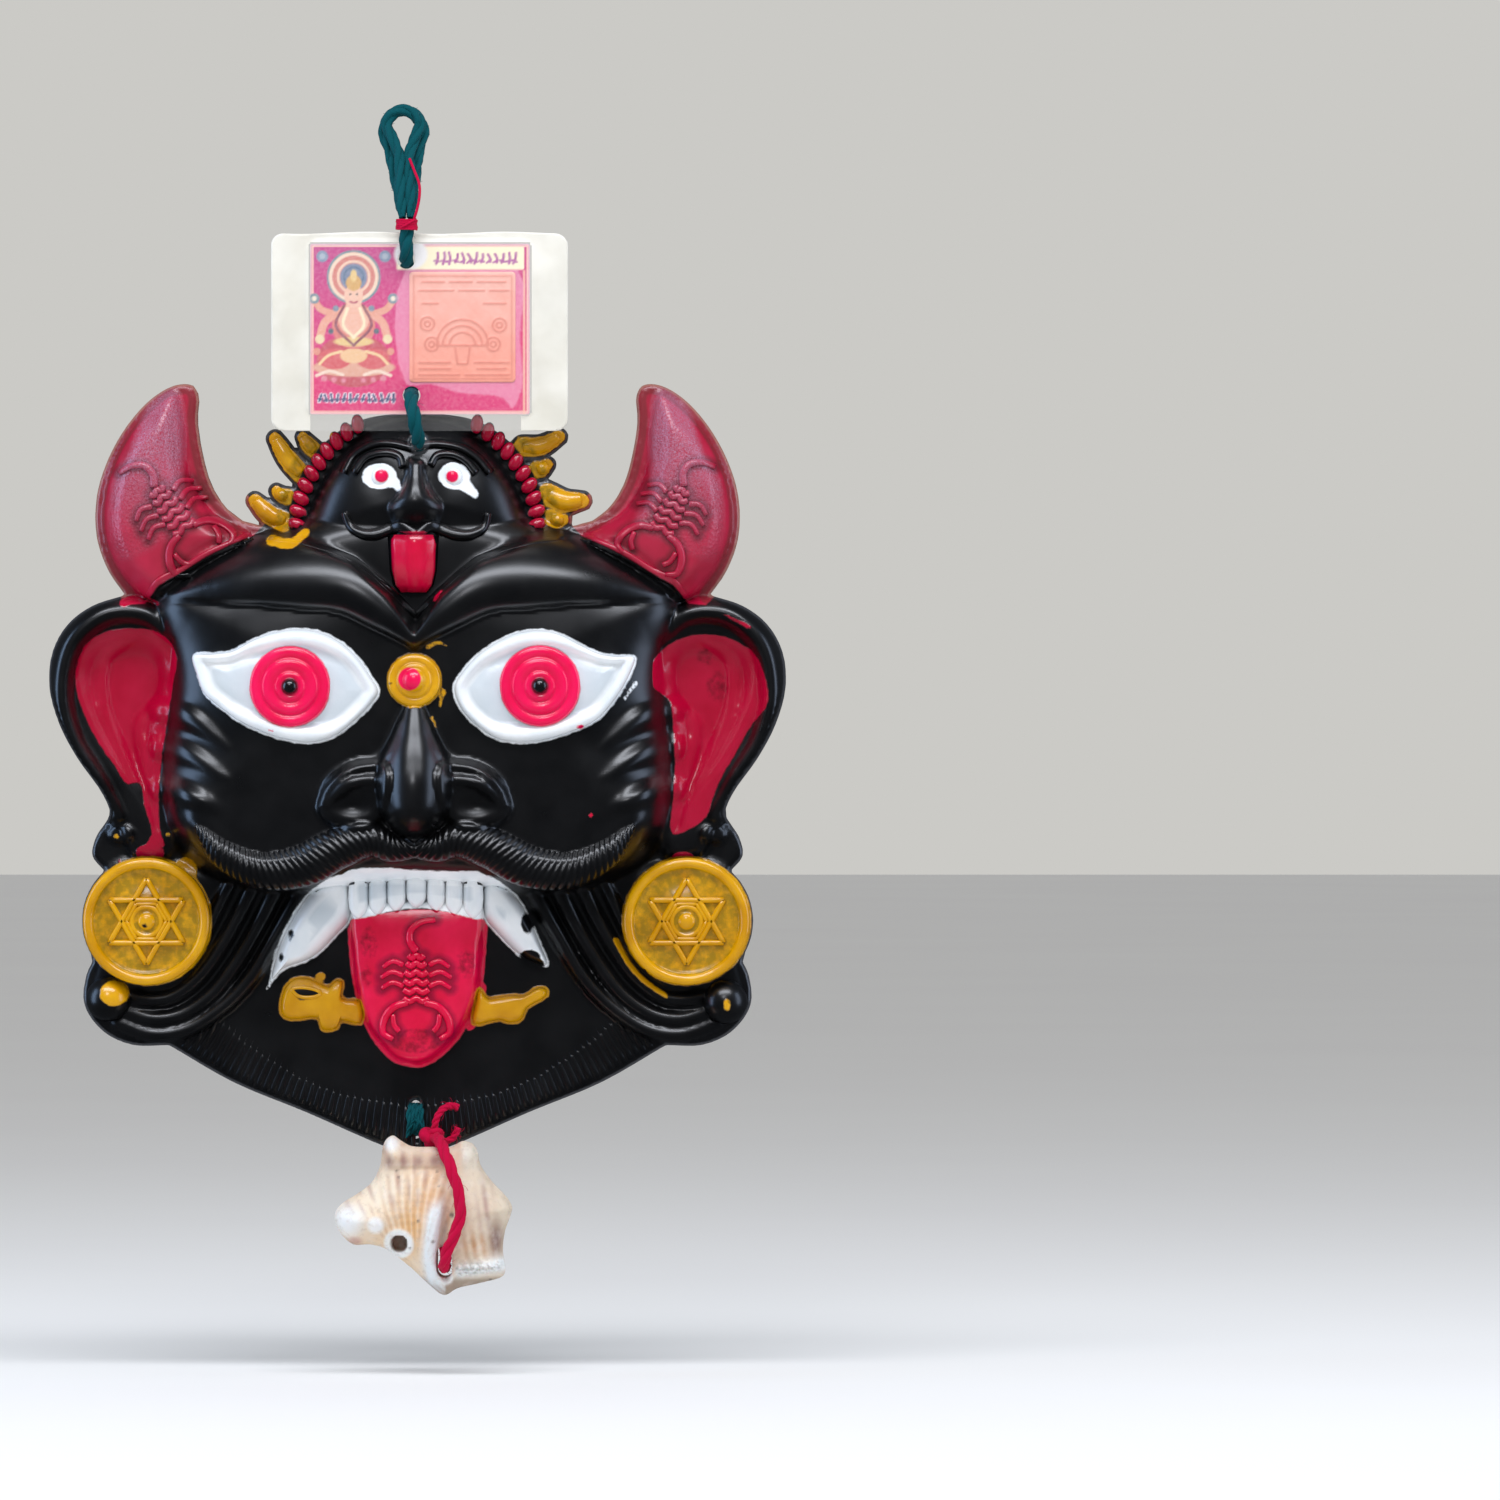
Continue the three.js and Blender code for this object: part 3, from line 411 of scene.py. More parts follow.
bm = bmesh.new()
add_tube(bm, overhand(2.5, 1.6, (4.8, -148.6, 8.6)), 1.5, 10)
add_tube(bm, smooth_line([(2.4, -146.6, 8.2), (4.2, -149.2, 11.2), (7.0, -151.0, 9.0)], 8), 1.6, 10)
knot_ends = [
    [(5.6, -147.2, 9.2), (6.2, -143.2, 10.2), (8.0, -139.8, 9.8), (10.8, -138.2, 8.6), (13.4, -138.8, 7.6)],
    [(6.2, -148.8, 9.4), (9.0, -149.8, 10.2), (11.8, -148.6, 9.8), (13.4, -145.4, 9.0)],
]
for end in knot_ends:
    add_twist(bm, smooth_line(end, 8), 2.5, 7.0)
    add_fibres(bm, smooth_line(end[2:], 6), 1.0, 22, end[0][0], (1.4, 3.4))
add_fibres(bm, overhand(2.5, 1.6, (4.8, -148.6, 8.6)), 1.4, 40, "tie")
tie_knot = finished(bm, "red_tie_knot", [red_wool])
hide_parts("tie_knot")

binding_foot = 146
thread_radius = 0.36
binding_turns = 5.5
bm = bmesh.new()
steps = np.arange(int(binding_turns * 20))
reach = cord_size / 2 + 0.75 + 0.12 * np.sin(steps * 0.7)
coil = np.stack([binding_place[0] + reach * np.cos(2 * math.pi * steps / 20),
                 binding_foot + 0.35 + (binding_top - binding_foot - 0.7) * steps / (binding_turns * 20),
                 binding_place[1] + reach * np.sin(2 * math.pi * steps / 20)], axis=1)
add_tube(bm, coil, thread_radius, 7)
cross_over = [(-5.6, 146.4, 19.0), (-3.6, 147.4, 20.9), (-1.2, 148.9, 20.6), (0.1, 149.6, 18.9)]
add_tube(bm, smooth_line(cross_over, 6), thread_radius, 7)
loose_thread = [(-0.6, 149.4, 19.4), (0.4, 152.5, 19.8), (1.2, 157, 18.8), (1.1, 161, 17.4),
                (-0.6, 165.6, 15.2), (-2.2, 169.6, 13.6)]
add_tube(bm, smooth_line(loose_thread, 8), 0.45, 7)
binding = finished(bm, "red_thread_binding", [red_wool])
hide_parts("red_binding")

# The mask: one moulding of black plastic, hollow behind, with a flat rim on the wall. A sheet of
# fine faces takes the big forms, and what has crisp edges stands on it in the same mesh.

wall = 1.8
flange = 1.6
cell = 0.9  # the sheet's grid
mask_grid = (np.arange(-122, 122 + cell / 2, cell), np.arange(-157, 99 + cell / 2, cell))
X, Z = np.meshgrid(*mask_grid)
A = np.abs(X)


def nearest(line, x, z):
    """From every place to a line: the distance, and the share of the way along the line."""
    best = np.full(np.shape(x), 1e9)
    share = np.zeros(np.shape(x))
    for i, (start, step) in enumerate(zip(line[:-1], np.diff(line, axis=0))):
        along = np.clip(((x - start[0]) * step[0] + (z - start[1]) * step[1]) / step.dot(step), 0, 1)
        gap = np.hypot(x - start[0] - along * step[0], z - start[1] - along * step[1])
        closer = gap < best
        best = np.where(closer, gap, best)
        share = np.where(closer, (i + along) / (len(line) - 1), share)
    return best, share


def inside(edge, x, z):
    """How far inside a closed edge every place lies; negative outside."""
    closed = np.vstack([edge, edge[:1]])
    crossed = np.zeros(np.shape(x), bool)
    for (ax, az), (bx, bz) in zip(closed[:-1], closed[1:]):
        if az != bz:
            crossed ^= ((az > z) != (bz > z)) & (x < ax + (z - az) * (bx - ax) / (bz - az))
    return np.where(crossed, 1, -1) * nearest(closed, x, z)[0]


def rise(depth_in, reach):
    """A quarter round: 0 at an edge, 1 from reach inwards."""
    t = np.clip(depth_in / reach, 0, 1)
    return np.sqrt(1 - (1 - t) ** 2)


def ramp(depth_in, reach):
    """An S-shaped slope: 0 at an edge, 1 from reach inwards."""
    t = np.clip(depth_in / reach, 0, 1)
    return t * t * (3 - 2 * t)


def flowing(share, sizes):
    """A size that flows from one of its values to the next along a line."""
    stops = np.linspace(0, 1, len(sizes))
    return np.interp(share, *smooth_line(np.stack([stops * 20, sizes], axis=1), 6).T * [[0.05], [1]])


def roll(pairs, half_widths, heights, sharp=0.5):
    """The height of a rounded roll along a line, whose sizes flow along it."""
    gap, share = nearest(smooth_line(pairs, 8), A, Z)
    width = np.maximum(flowing(share, half_widths), 0.3)
    height = flowing(share, heights)
    return height * np.clip(1 - (gap / width) ** 2, 0, 1) ** sharp


def soften(field, reach):
    """Blurs a field over so many millimetres."""
    size = int(3 * reach / cell) + 1
    weights = np.exp(-0.5 * (np.arange(-size, size + 1) * cell / reach) ** 2)
    weights /= weights.sum()
    for axis in (0, 1):
        padded = np.pad(field, [(size, size) if k == axis else (0, 0) for k in (0, 1)], mode="edge")
        field = sum(w * np.take(padded, range(k, k + field.shape[axis]), axis) for k, w in enumerate(weights))
    return field


def blend(a, b, soft):
    """The higher of two forms, with a fillet where they meet."""
    h = np.clip(0.5 + 0.5 * (a - b) / soft, 0, 1)
    return b * (1 - h) + a * h + soft * h * (1 - h) * 0.5


def mirrored(half):
    """A closed edge from its right half, which runs from the middle line to the middle line."""
    half = np.array(half, float)
    return np.vstack([half, (half * [-1, 1])[-2:0:-1]])


def round_about(x, z, radius, degrees):
    """Places on a circle, at so many degrees from its right."""
    return [(x + radius * math.cos(math.radians(t)), z + radius * math.sin(math.radians(t))) for t in degrees]


# The outline of the moulding, from the foot of the beard up the right side to the crown
notch = (95.3, 28)
horn_foot = (57, 52.2)
medal = (87.8, -78.2)
medal_rim = 21.6
beard_side = [(0, -155), (9, -152.4), (36.5, -140.5), (60, -130.8), (81, -118.7)]
curl_side = [(81, -118.7), (93, -118.6), (102.5, -114.2), (108.6, -105.5), (107.8, -95.4), (105.3, -90.5)]
ear_side = [(102, -62), (106, -57), (104.8, -50.8), (100.4, -43.4), (102.6, -37), (111, -25), (116.8, -14),
            (120, -2), (119, 9.5), (114, 18.5), (106, 24.5), notch]
horn_side = [notch, (100.8, 36), (104.6, 47), (104.6, 60), (101, 72), (94.5, 83.5), (86.5, 92.2), (79, 96.4),
             (73.5, 96.4), (71.4, 93), (71.7, 85), (70.3, 75), (67.2, 64), (62.5, 56.6), horn_foot]
crown_side = [horn_foot, (46, 50.5), (41, 61.5), (33, 75), (20, 84.6), (0, 88)]
medal_arc = round_about(*medal, medal_rim, range(-30, 50, 5))
outline = mirrored(np.vstack([smooth_line(beard_side, 4)[:-1], smooth_line(curl_side, 4)[:-1], medal_arc,
                              smooth_line(ear_side, 4)[:-1], smooth_line(horn_side, 4)[:-1],
                              smooth_line(crown_side, 4)]))
solid_in = inside(outline, A, Z)

# Rays of the crown: foot, tip and half width; each lies on a tongue of the flat rim
rays = [((-38, 67.5), (-46.4, 79), 3.0), ((-33.4, 75), (-37.4, 79.6), 2.5), ((-42.4, 60), (-46, 62), 2.4),
        ((-43.4, 51.8), (-53, 58.8), 3.1), ((34.4, 76.3), (46, 79.6), 3.0), ((39, 68.8), (42.4, 70.6), 2.6),
        ((42.6, 60.8), (53.6, 58.8), 3.5), ((43.6, 53.2), (47.6, 52.6), 2.6)]
ray_margin = 1.2


def ray_line(foot, tip):
    bow = abs(tip[0] - foot[0]) * 0.12
    return smooth_line([foot, ((foot[0] + tip[0]) / 2, (foot[1] + tip[1]) / 2 - bow), tip], 8)


ray_in = np.full(X.shape, -99.0)
for foot, tip, half_width in rays:
    gap, share = nearest(ray_line(foot, tip), X, Z)
    ray_in = np.maximum(ray_in, half_width * (1 - 0.35 * share ** 3) - gap)
solid_in = np.maximum(solid_in, ray_in + ray_margin)
cord_hole = (0.8, 77.2)
for (x, z), size in ((cord_hole, 5.8), ((-0.6, -138.4), 3.6), ((-0.6, -147.6), 3.6)):
    solid_in = np.minimum(solid_in, np.hypot(X - x, Z - z) - size / 2)

# The big hollow forms
face_side = [(0, -66), (24, -67.5), (50, -68), (70, -60.5), (81, -45), (83, -22), (81, 3), (86, 26),
             (70, 38), (46, 49), (24, 57), (0, 59)]
face_in = inside(mirrored(smooth_line(face_side, 4)), A, Z)
face_height = 31
crown_of_cheeks = np.clip(1 - (X / 80) ** 2 - ((Z + 6) / 64) ** 2, 0, 1)
lip_reach = 40 - 29 * ramp(-Z - 14, 34)  # the face keeps its height down to the upper lip
face = 3 + soften((face_height - 6) * rise(face_in, lip_reach), 1.6) + 2.5 * crown_of_cheeks
face = np.where(face_in > -2, face, flange)

head_side = [(0, 20), (18, 34), (36, 45), (34, 58), (27, 70), (15, 80.6), (0, 84)]
head_in = inside(mirrored(smooth_line(head_side, 4)), A, Z)
head_height = 20
head = 3 + soften((head_height - 4.5) * rise(head_in, 26), 1.2) + 1.5 * np.clip(1 - (X / 34) ** 2, 0, 1)
head = np.where(head_in > -1.5, head, flange)

horn_body = smooth_line([(93.5, 30.5), (102, 45), (102, 62), (96, 78), (88, 88), (79, 94.6), (76, 86),
                         (74, 67), (66, 54.5), (54, 47.5), (70, 35.5), (84, 25)], 4, closed=True)
horn_in = inside(horn_body, A, Z)
horn = flange + 5.5 * ramp(horn_in + 0.4, 2.0) + soften(5.4 * ramp(horn_in, 7.5), 0.8) + 4 * rise(horn_in, 15)

ear_edge = smooth_line([(93, 26), (105.5, 23), (115.5, 14), (118.4, -2), (112, -21), (100.5, -37), (93, -58),
                        (80, -58), (76, -20), (76, 16), (84, 25)], 4, closed=True)
ear_bowl = smooth_line([(79, 8), (83.5, 14.5), (92, 16.8), (100.3, 15.5), (107.5, 11.5), (111.4, 5),
                        (112, -2), (108.8, -12), (103.6, -22), (98, -30.5), (92.5, -37), (88.6, -43),
                        (86.5, -49), (81.5, -51), (82.6, -44), (83.8, -34), (83.2, -20), (80.4, -7),
                        (78.6, 1)], 3, closed=True)
ear_in = inside(ear_edge, A, Z)
bowl_in = inside(ear_bowl, A, Z)
ear_rim = [(97, -44), (104, -32), (112, -19), (115.4, -3), (111.8, 12.5), (101, 21.6), (88, 21.4), (79, 13)]
ear = flange + 6.4 * rise(ear_in, 5)
ear = blend(ear, flange + roll(ear_rim, (4.0, 4.4, 4.6, 4.6, 4.8, 5.0, 4.6, 2.6),
                               (8, 10.5, 12, 12.4, 12.4, 12, 11, 9)), 1.6)
ear -= 4.6 * ramp(bowl_in, 9) + 2.0 * np.exp(-((A - 89) ** 2 + (Z + 1) ** 2) / 45)
ear += roll([(93, 13), (101.5, 7), (102.5, -6), (97, -20), (89.5, -36)], (1.2, 2.2, 2.4, 2.0, 0.8),
            (0.4, 1.3, 1.4, 1.1, 0.2))
ear += roll([(86, -6), (90.5, -14), (89.5, -26), (86.4, -38)], (0.8, 2.0, 2.0, 0.8), (0.2, 1.4, 1.2, 0.2))

hair_edge = smooth_line([(46, -68), (60, -62), (96, -56), (107, -66), (105, -90), (107.5, -103),
                         (101, -113.5), (80, -117.5), (64, -107), (46, -80)], 4, closed=True)
hair_in = inside(hair_edge, A, Z)
hair_height = 7
hair = flange + (hair_height - 1.6 - flange) * rise(hair_in, 6)
strands = [
    ([(37.4, -68), (46, -83), (55, -97.5), (64.5, -107), (75, -113.4), (86, -115), (97, -111.5)], 2.9),
    ([(45, -66), (51.5, -79.1), (59.5, -92.6), (67.5, -102.6), (77, -108.8), (86, -110.2), (94.5, -108)], 3.1),
    ([(52.5, -65), (58, -76), (64.5, -87.4), (71.5, -96.6), (80, -102.8), (88, -103.9), (94, -102.8)], 3.0),
    ([(59.5, -63), (64, -72), (68.8, -82), (74, -91.5), (80.5, -97.6), (87, -99.4)], 2.6),
]
for line, half_width in strands:
    hair = np.maximum(hair, flange + 2.2 + roll(line, (half_width,) * 6, (3.4, 4.8, 5.0, 5.0, 4.6, 2.4)))

# The beard: a fan of ribs round the sunk floor of the mouth
mouth_edge = mirrored([(0, -133.4), (15, -132.8), (25.4, -131), (36.5, -126.6), (48, -119), (57, -111.7),
                       (66, -100), (60, -60), (0, -56)])
mouth_in = inside(mouth_edge, A, Z)
beard = flange + 0.2 * ramp(-mouth_in, 3) * ramp(solid_in - 0.6, 1.8) * (Z < -100)

depth = blend(hair, blend(ear, blend(horn, np.maximum(beard, flange), 0.4), 0.8), 0.8)
depth = blend(head, depth, 0.8)
depth = blend(face, depth, 1.0)
depth = np.where((bowl_in > -2.2) & (A > 79), np.minimum(depth, np.maximum(ear, 3.2)), depth)

# Carving on the face
browline = [(0, 13.5), (10, 22.4), (22, 31), (38.8, 35), (60, 35.2), (83, 28.6)]
depth += roll(browline, (3.4, 7, 10, 12, 10.8, 2), (5, 6.6, 7.6, 7.6, 6.4, 1.2), sharp=0.62)
nose_line = [(0, -8), (0, -18), (0, -26), (0, -34), (0, -42), (0, -48), (0, -51.5)]
depth += roll(nose_line, (3.4, 7.8, 11.4, 12.4, 11.4, 8, 3), (3, 8, 12, 15, 15, 9, 2), sharp=0.75)
wing = smooth_line([(8, -27), (20, -27.4), (27.6, -33), (31.6, -42), (27, -47), (12, -47)], 4, closed=True)
depth += 4.6 * rise(inside(wing, A, Z), 6)
depth += roll([(4.6, -13), (8, -21), (11.4, -26), (19.8, -28), (27, -33), (30.9, -40.6)],
              (1.0, 1.4, 1.9, 2.1, 2.1, 1.2), (0.4, 0.8, 1.6, 2.4, 2.4, 0.8))
depth += roll([(12, -32), (21, -33.4), (28.8, -40.4)], (1.6, 2.3, 1.4), (1.4, 2.6, 0.8))
depth -= 2.6 * np.exp(-((A - 20) ** 2 / 40 + (Z + 40.5) ** 2 / 12))
for start, turn, end in (((84, -9), (74, -12), (61, -21.4)), ((84, -21.5), (75, -23.4), (61, -31.6)),
                         ((84, -35), (76, -36.4), (63.5, -41.4))):
    depth += roll([start, turn, end], (4.6, 4.8, 1.8), (2.4, 3.6, 0.4), sharp=1.3)
cheek_side = ramp(A - 56, 8) * ramp(86 - A, 4) * ramp(Z + 60, 8) * ramp(6 - Z, 8)
depth += (soften(depth, 1.1) - depth) * cheek_side
moustache_line = [(0, -54), (7, -54.2), (14, -51.6), (24, -54), (37, -60), (50, -61.2), (62, -56),
                  (71, -46.5)]
moustache_widths = (3.4, 5.2, 6.6, 7.2, 6.8, 6.0, 4.6, 0.9)
moustache_heights = (5.0, 6.4, 7.2, 7.5, 7.5, 7.0, 5.2, 1.2)
depth = np.maximum(depth, 12 * (nearest(smooth_line(moustache_line, 4), A, Z)[0] < 6))
plain_face = depth.copy()
depth += roll(moustache_line, [w - 1 for w in moustache_widths[:-1]] + [0.6],
              [h - 1.4 for h in moustache_heights[:-1]] + [0.2])

# Mouth: the gum that carries the teeth, the roots of the fangs, and the tongue
gum = mirrored([(0, -76.5), (21.6, -75.5), (22.4, -60), (0, -58)])
depth = np.maximum(depth, flange + 8 * ramp(inside(gum, A, Z), 1.8))
fang_left = [(-22.5, -63.5), (-33.9, -68.4), (-41.4, -78.5), (-46.2, -90.5), (-47.4, -97.2), (-44.0, -94.0),
             (-33.9, -89.9), (-26.1, -82.4), (-21.8, -76.8)]
fang_right = [(22.1, -63.5), (31.6, -69.7), (36.4, -77.5), (40.2, -86.3), (42.3, -92.4), (38.6, -92.0),
              (33.2, -89.2), (25.7, -81.7), (22.0, -76.8)]
for fang in (fang_left, fang_right):
    depth = np.maximum(depth, flange + 7 * ramp(inside(smooth_line(fang, 3, closed=True), X, Z) - 0.8, 2.0))
tongue_edge = smooth_line([(-21.2, -72), (0, -70), (21.8, -72), (21.9, -86.0), (20.8, -99.3), (16.6, -110.7),
                           (10.4, -119.5), (3.3, -124.7), (-0.3, -125.4), (-7.2, -123.7), (-13.0, -117.9),
                           (-16.9, -112.0), (-20.2, -100.3), (-21.8, -88.9)], 4, closed=True)
tongue_in = inside(tongue_edge, X, Z)
tongue_height = 14.5
tongue_fullness = 0.62 * ramp(tongue_in, 2.4) + 0.38 * rise(tongue_in, 14)
depth = np.maximum(depth, flange + (tongue_height - flange) * tongue_fullness)

# Carving on the small head: its chin lies sunk between the brows' crests
chin = mirrored([(0, 13.8), (9.4, 27), (21, 37.4), (36, 43.4), (37, 52), (0, 60)])
excess = depth - 20
depth -= 0.5 * (excess + np.hypot(excess, 2.5)) * ramp(inside(chin, A, Z), 3.4) * ramp(60 - Z, 10)
small_nose = [(0, 75.5), (0, 66), (0, 61), (0, 56), (0, 50.2)]
depth += roll(small_nose, (2.2, 3.4, 5.8, 9.2, 7.4), (1.4, 3.6, 5.8, 6.6, 3), sharp=0.8)
for side in (1, -1):
    socket = np.exp(-((X - side * 11.8) ** 2 + (Z - 65.5) ** 2) / 30)
    depth -= socket * (head_in > 0)
medal_gap = np.hypot(A - medal[0], Z - medal[1])
medal_radius = 20.6
medal_top = 13.5
depth = np.maximum(depth, flange + (medal_top - 2.8 - flange) * ramp(medal_radius - 0.5 - medal_gap, 1.6))
depth += 2.6 * rise(3.4 - np.hypot((A - 96.4) * 0.75, Z + 49.8), 3)
depth = np.where(solid_in < 1.2, np.minimum(depth, flange + 6 * np.maximum(solid_in, 0)), depth)
depth = np.where(np.hypot(X - cord_hole[0], Z - cord_hole[1]) < 6, plain_face, depth)


def back_of(front):
    """The inner face of a wall of even thickness behind the front."""
    reach = int(wall / cell)
    padded = np.pad(front, reach, mode="edge")
    back = front - wall
    for i in range(-reach, reach + 1):
        for j in range(-reach, reach + 1):
            gap = math.hypot(i, j) * cell
            if gap < wall:
                shifted = padded[reach + i:reach + i + front.shape[0], reach + j:reach + j + front.shape[1]]
                back = np.minimum(back, shifted - math.sqrt(wall ** 2 - gap ** 2))
    return np.maximum(soften(back, 0.7), 0)


back_depth = back_of(depth)


def sample(field, x, z, grid=mask_grid):
    """A field's value anywhere between the columns and rows of its grid."""
    columns, rows = grid
    column = np.clip((np.asarray(x) - columns[0]) / (columns[1] - columns[0]), 0, len(columns) - 1.001)
    row = np.clip((np.asarray(z) - rows[0]) / (rows[1] - rows[0]), 0, len(rows) - 1.001)
    c, r = column.astype(int), row.astype(int)
    u, v = column - c, row - r
    low = field[r, c] * (1 - u) + field[r, c + 1] * u
    high = field[r + 1, c] * (1 - u) + field[r + 1, c + 1] * u
    return low * (1 - v) + high * v


def trimmed_sheet(grid, within, front, back):
    """A closed sheet from the back field to the front field, trimmed to where within is above 0:
    a grid loses its faces outside, its border moves onto the edge, and it is thickened.
    Also says which of its vertices are at the back."""
    columns, rows = grid
    size = columns[1] - columns[0]
    bm = bmesh.new()
    bmesh.ops.create_grid(bm, x_segments=len(columns) - 1, y_segments=len(rows) - 1, size=1)
    for vert in bm.verts:
        u, v = (vert.co.x + 1) / 2, (vert.co.y + 1) / 2
        vert.co = (columns[0] + u * (columns[-1] - columns[0]), 0, rows[0] + v * (rows[-1] - rows[0]))
    flat = np.array([(vert.co.x, vert.co.z) for vert in bm.verts])
    kept = sample(within, *flat.T, grid) > -0.45 * size
    bmesh.ops.delete(bm, geom=[vert for vert, keep in zip(bm.verts, kept) if not keep], context="VERTS")
    bmesh.ops.delete(bm, geom=[vert for vert in bm.verts if not vert.link_faces], context="VERTS")
    slope_z, slope_x = np.gradient(within, size)
    for vert in (vert for vert in bm.verts if vert.is_boundary):
        for _ in range(2):
            x, z = vert.co.x, vert.co.z
            value, gx, gz = (float(sample(field, x, z, grid)) for field in (within, slope_x, slope_z))
            steep = max(gx * gx + gz * gz, 0.2)
            vert.co.x -= value * gx / steep
            vert.co.z -= value * gz / steep
    made = bmesh.ops.extrude_face_region(bm, geom=bm.faces[:])["geom"]
    at_front = {part for part in made if isinstance(part, bmesh.types.BMVert)}
    is_back = np.array([vert not in at_front for vert in bm.verts])
    flat = np.array([(vert.co.x, vert.co.z) for vert in bm.verts])
    levels = np.where(is_back, sample(back, *flat.T, grid), sample(front, *flat.T, grid))
    for vert, (x, z), level in zip(bm.verts, flat, levels):
        vert.co = spot(x, z, level)
    bmesh.ops.recalc_face_normals(bm, faces=bm.faces)
    return bm, is_back


bm, is_back = trimmed_sheet(mask_grid, solid_in, depth, np.minimum(back_depth, depth - 1))
sheet_mesh = bpy.data.meshes.new("mask_sheet")
bm.to_mesh(sheet_mesh)
bm.free()
sheet = bpy.data.objects.new("mask_sheet", sheet_mesh)
bpy.context.scene.collection.objects.link(sheet)
sheet.vertex_groups.new(name="back").add(np.flatnonzero(is_back).tolist(), 1.0, "REPLACE")
thin_back = sheet.modifiers.new("thin_back", "DECIMATE")
thin_back.ratio = 0.54
thin_back.vertex_group = "back"
bpy.context.view_layer.update()
thinned = bpy.data.meshes.new_from_object(sheet.evaluated_get(bpy.context.evaluated_depsgraph_get()))
bpy.data.objects.remove(sheet)

# Crisp carving, each piece a closed skin that is sunk in the sheet
detail = bmesh.new()


def add_ridge(line, half_width, height, around=6, bury=0.7, ground=None):
    """A half-round ridge that follows the surface. Its two sizes are numbers, or change along it."""
    ground = depth if ground is None else ground
    line = np.array(line, float)
    ahead = np.gradient(line, axis=0)
    ahead /= np.linalg.norm(ahead, axis=1)[:, None]
    count = len(line)
    stops = np.linspace(0, 1, count)
    widths = np.interp(stops, np.linspace(0, 1, np.size(half_width)), np.atleast_1d(half_width))
    heights = np.interp(stops, np.linspace(0, 1, np.size(height)), np.atleast_1d(height))

    def place(column, row):
        i = min(max(row - 1, 0), count - 1)
        end = row in (0, count + 1)
        if column > around:
            across = -1 if column == around + 1 else 1
            rise_here = -bury
        else:
            across = math.cos(math.pi * column / around)
            rise_here = heights[i] * math.sin(math.pi * column / around)
        if end:
            across, rise_here = 0, -bury
        x = line[i][0] + ahead[i][1] * widths[i] * across
        z = line[i][1] - ahead[i][0] * widths[i] * across
        return spot(x, z, float(sample(ground, x, z)) + rise_here)

    wrapped = around + 3
    bent_grid(detail, wrapped, count + 1, lambda column, row: place(column % wrapped, row))


def heart_share(edge, heart, share):
    """The points of an edge, moved a share of the way to the nearest place on its heart line."""
    moved = []
    for p in edge:
        best = min((a + (b - a) * np.clip((p - a).dot(b - a) / (b - a).dot(b - a), 0, 1)
                    for a, b in zip(heart[:-1], heart[1:])), key=lambda q: np.linalg.norm(q - p))
        moved.append(p + (best - p) * share)
    return np.array(moved)


def add_cushion(edge, heart, levels):
    """A closed form over an edge; levels lists the share of the way in to its heart, and the depth."""
    heart = np.array(heart, float)
    rings = [(heart_share(edge, heart, share), level) for share, level in levels]
    form = bmesh.new()
    bent_grid(form, len(edge), len(rings) - 1,
              lambda column, row: spot(*rings[row][0][column % len(edge)], rings[row][1]))
    bmesh.ops.remove_doubles(form, verts=form.verts, dist=2e-6)
    bmesh.ops.holes_fill(form, edges=[edge for edge in form.edges if edge.is_boundary], sides=0)
    bmesh.ops.triangulate(form, faces=[face for face in form.faces if len(face.verts) > 4])
    form_mesh = bpy.data.meshes.new("cushion")
    form.to_mesh(form_mesh)
    form.free()
    detail.from_mesh(form_mesh)


def rounded(low, high, reach, steps=5):
    """Levels that rise from low to high round a quarter circle, over a share of the way in."""
    turns = [math.pi / 2 * k / steps for k in range(steps + 1)]
    return [(reach * (1 - math.cos(t)), low + (high - low) * math.sin(t)) for t in turns]


def add_turned(bm, x, z, profile, steps=64):
    """A form turned about an axis straight off the wall; profile lists radius and depth."""
    verts = [bm.verts.new(spot(x + radius, z, level)) for radius, level in profile]
    edges = [bm.edges.new(pair) for pair in zip(verts[:-1], verts[1:])]
    bmesh.ops.spin(bm, geom=verts + edges, cent=spot(x, z, 0), axis=(0, 1, 0), angle=2 * math.pi,
                   steps=steps, use_merge=True)


# Eyes: a lid band round a sunk almond, and on it the ringed iris with a pupil bead
eye_left = [(-71.6, 8.1), (-65.8, 8.5), (-58.9, 9.4), (-52.1, 13.0), (-45.3, 15.3), (-38.4, 16.3),
            (-31.6, 15.6), (-24.7, 12.7), (-18.6, 7.5), (-14.7, 2.0), (-11.7, -3.6), (-13.7, -7.2),
            (-18.2, -12.0), (-24.7, -17.3), (-30.3, -19.5), (-36.1, -19.9), (-43.0, -18.6), (-49.8, -16.3),
            (-56.7, -13.0), (-63.5, -8.1), (-68.1, -3.9), (-70.3, 2.0)]
eye_right = [(13.0, -1.6), (16.0, 3.3), (20.5, 8.1), (27.0, 12.4), (33.9, 15.3), (41.0, 16.0), (47.2, 14.7),
             (53.7, 11.4), (59.3, 8.8), (64.8, 7.8), (71.0, 7.5), (70.0, 3.3), (64.8, -5.9), (58.3, -13.0),
             (51.1, -16.3), (43.0, -18.9), (34.8, -19.9), (27.0, -18.9), (21.5, -15.6), (16.0, -10.4),
             (13.4, -5.5)]
iris_radius = 13
iris_places = [(-40.1, -2.0), (40.6, -1.8)]
eye_level = float(sample(depth, 40.5, -1.8))
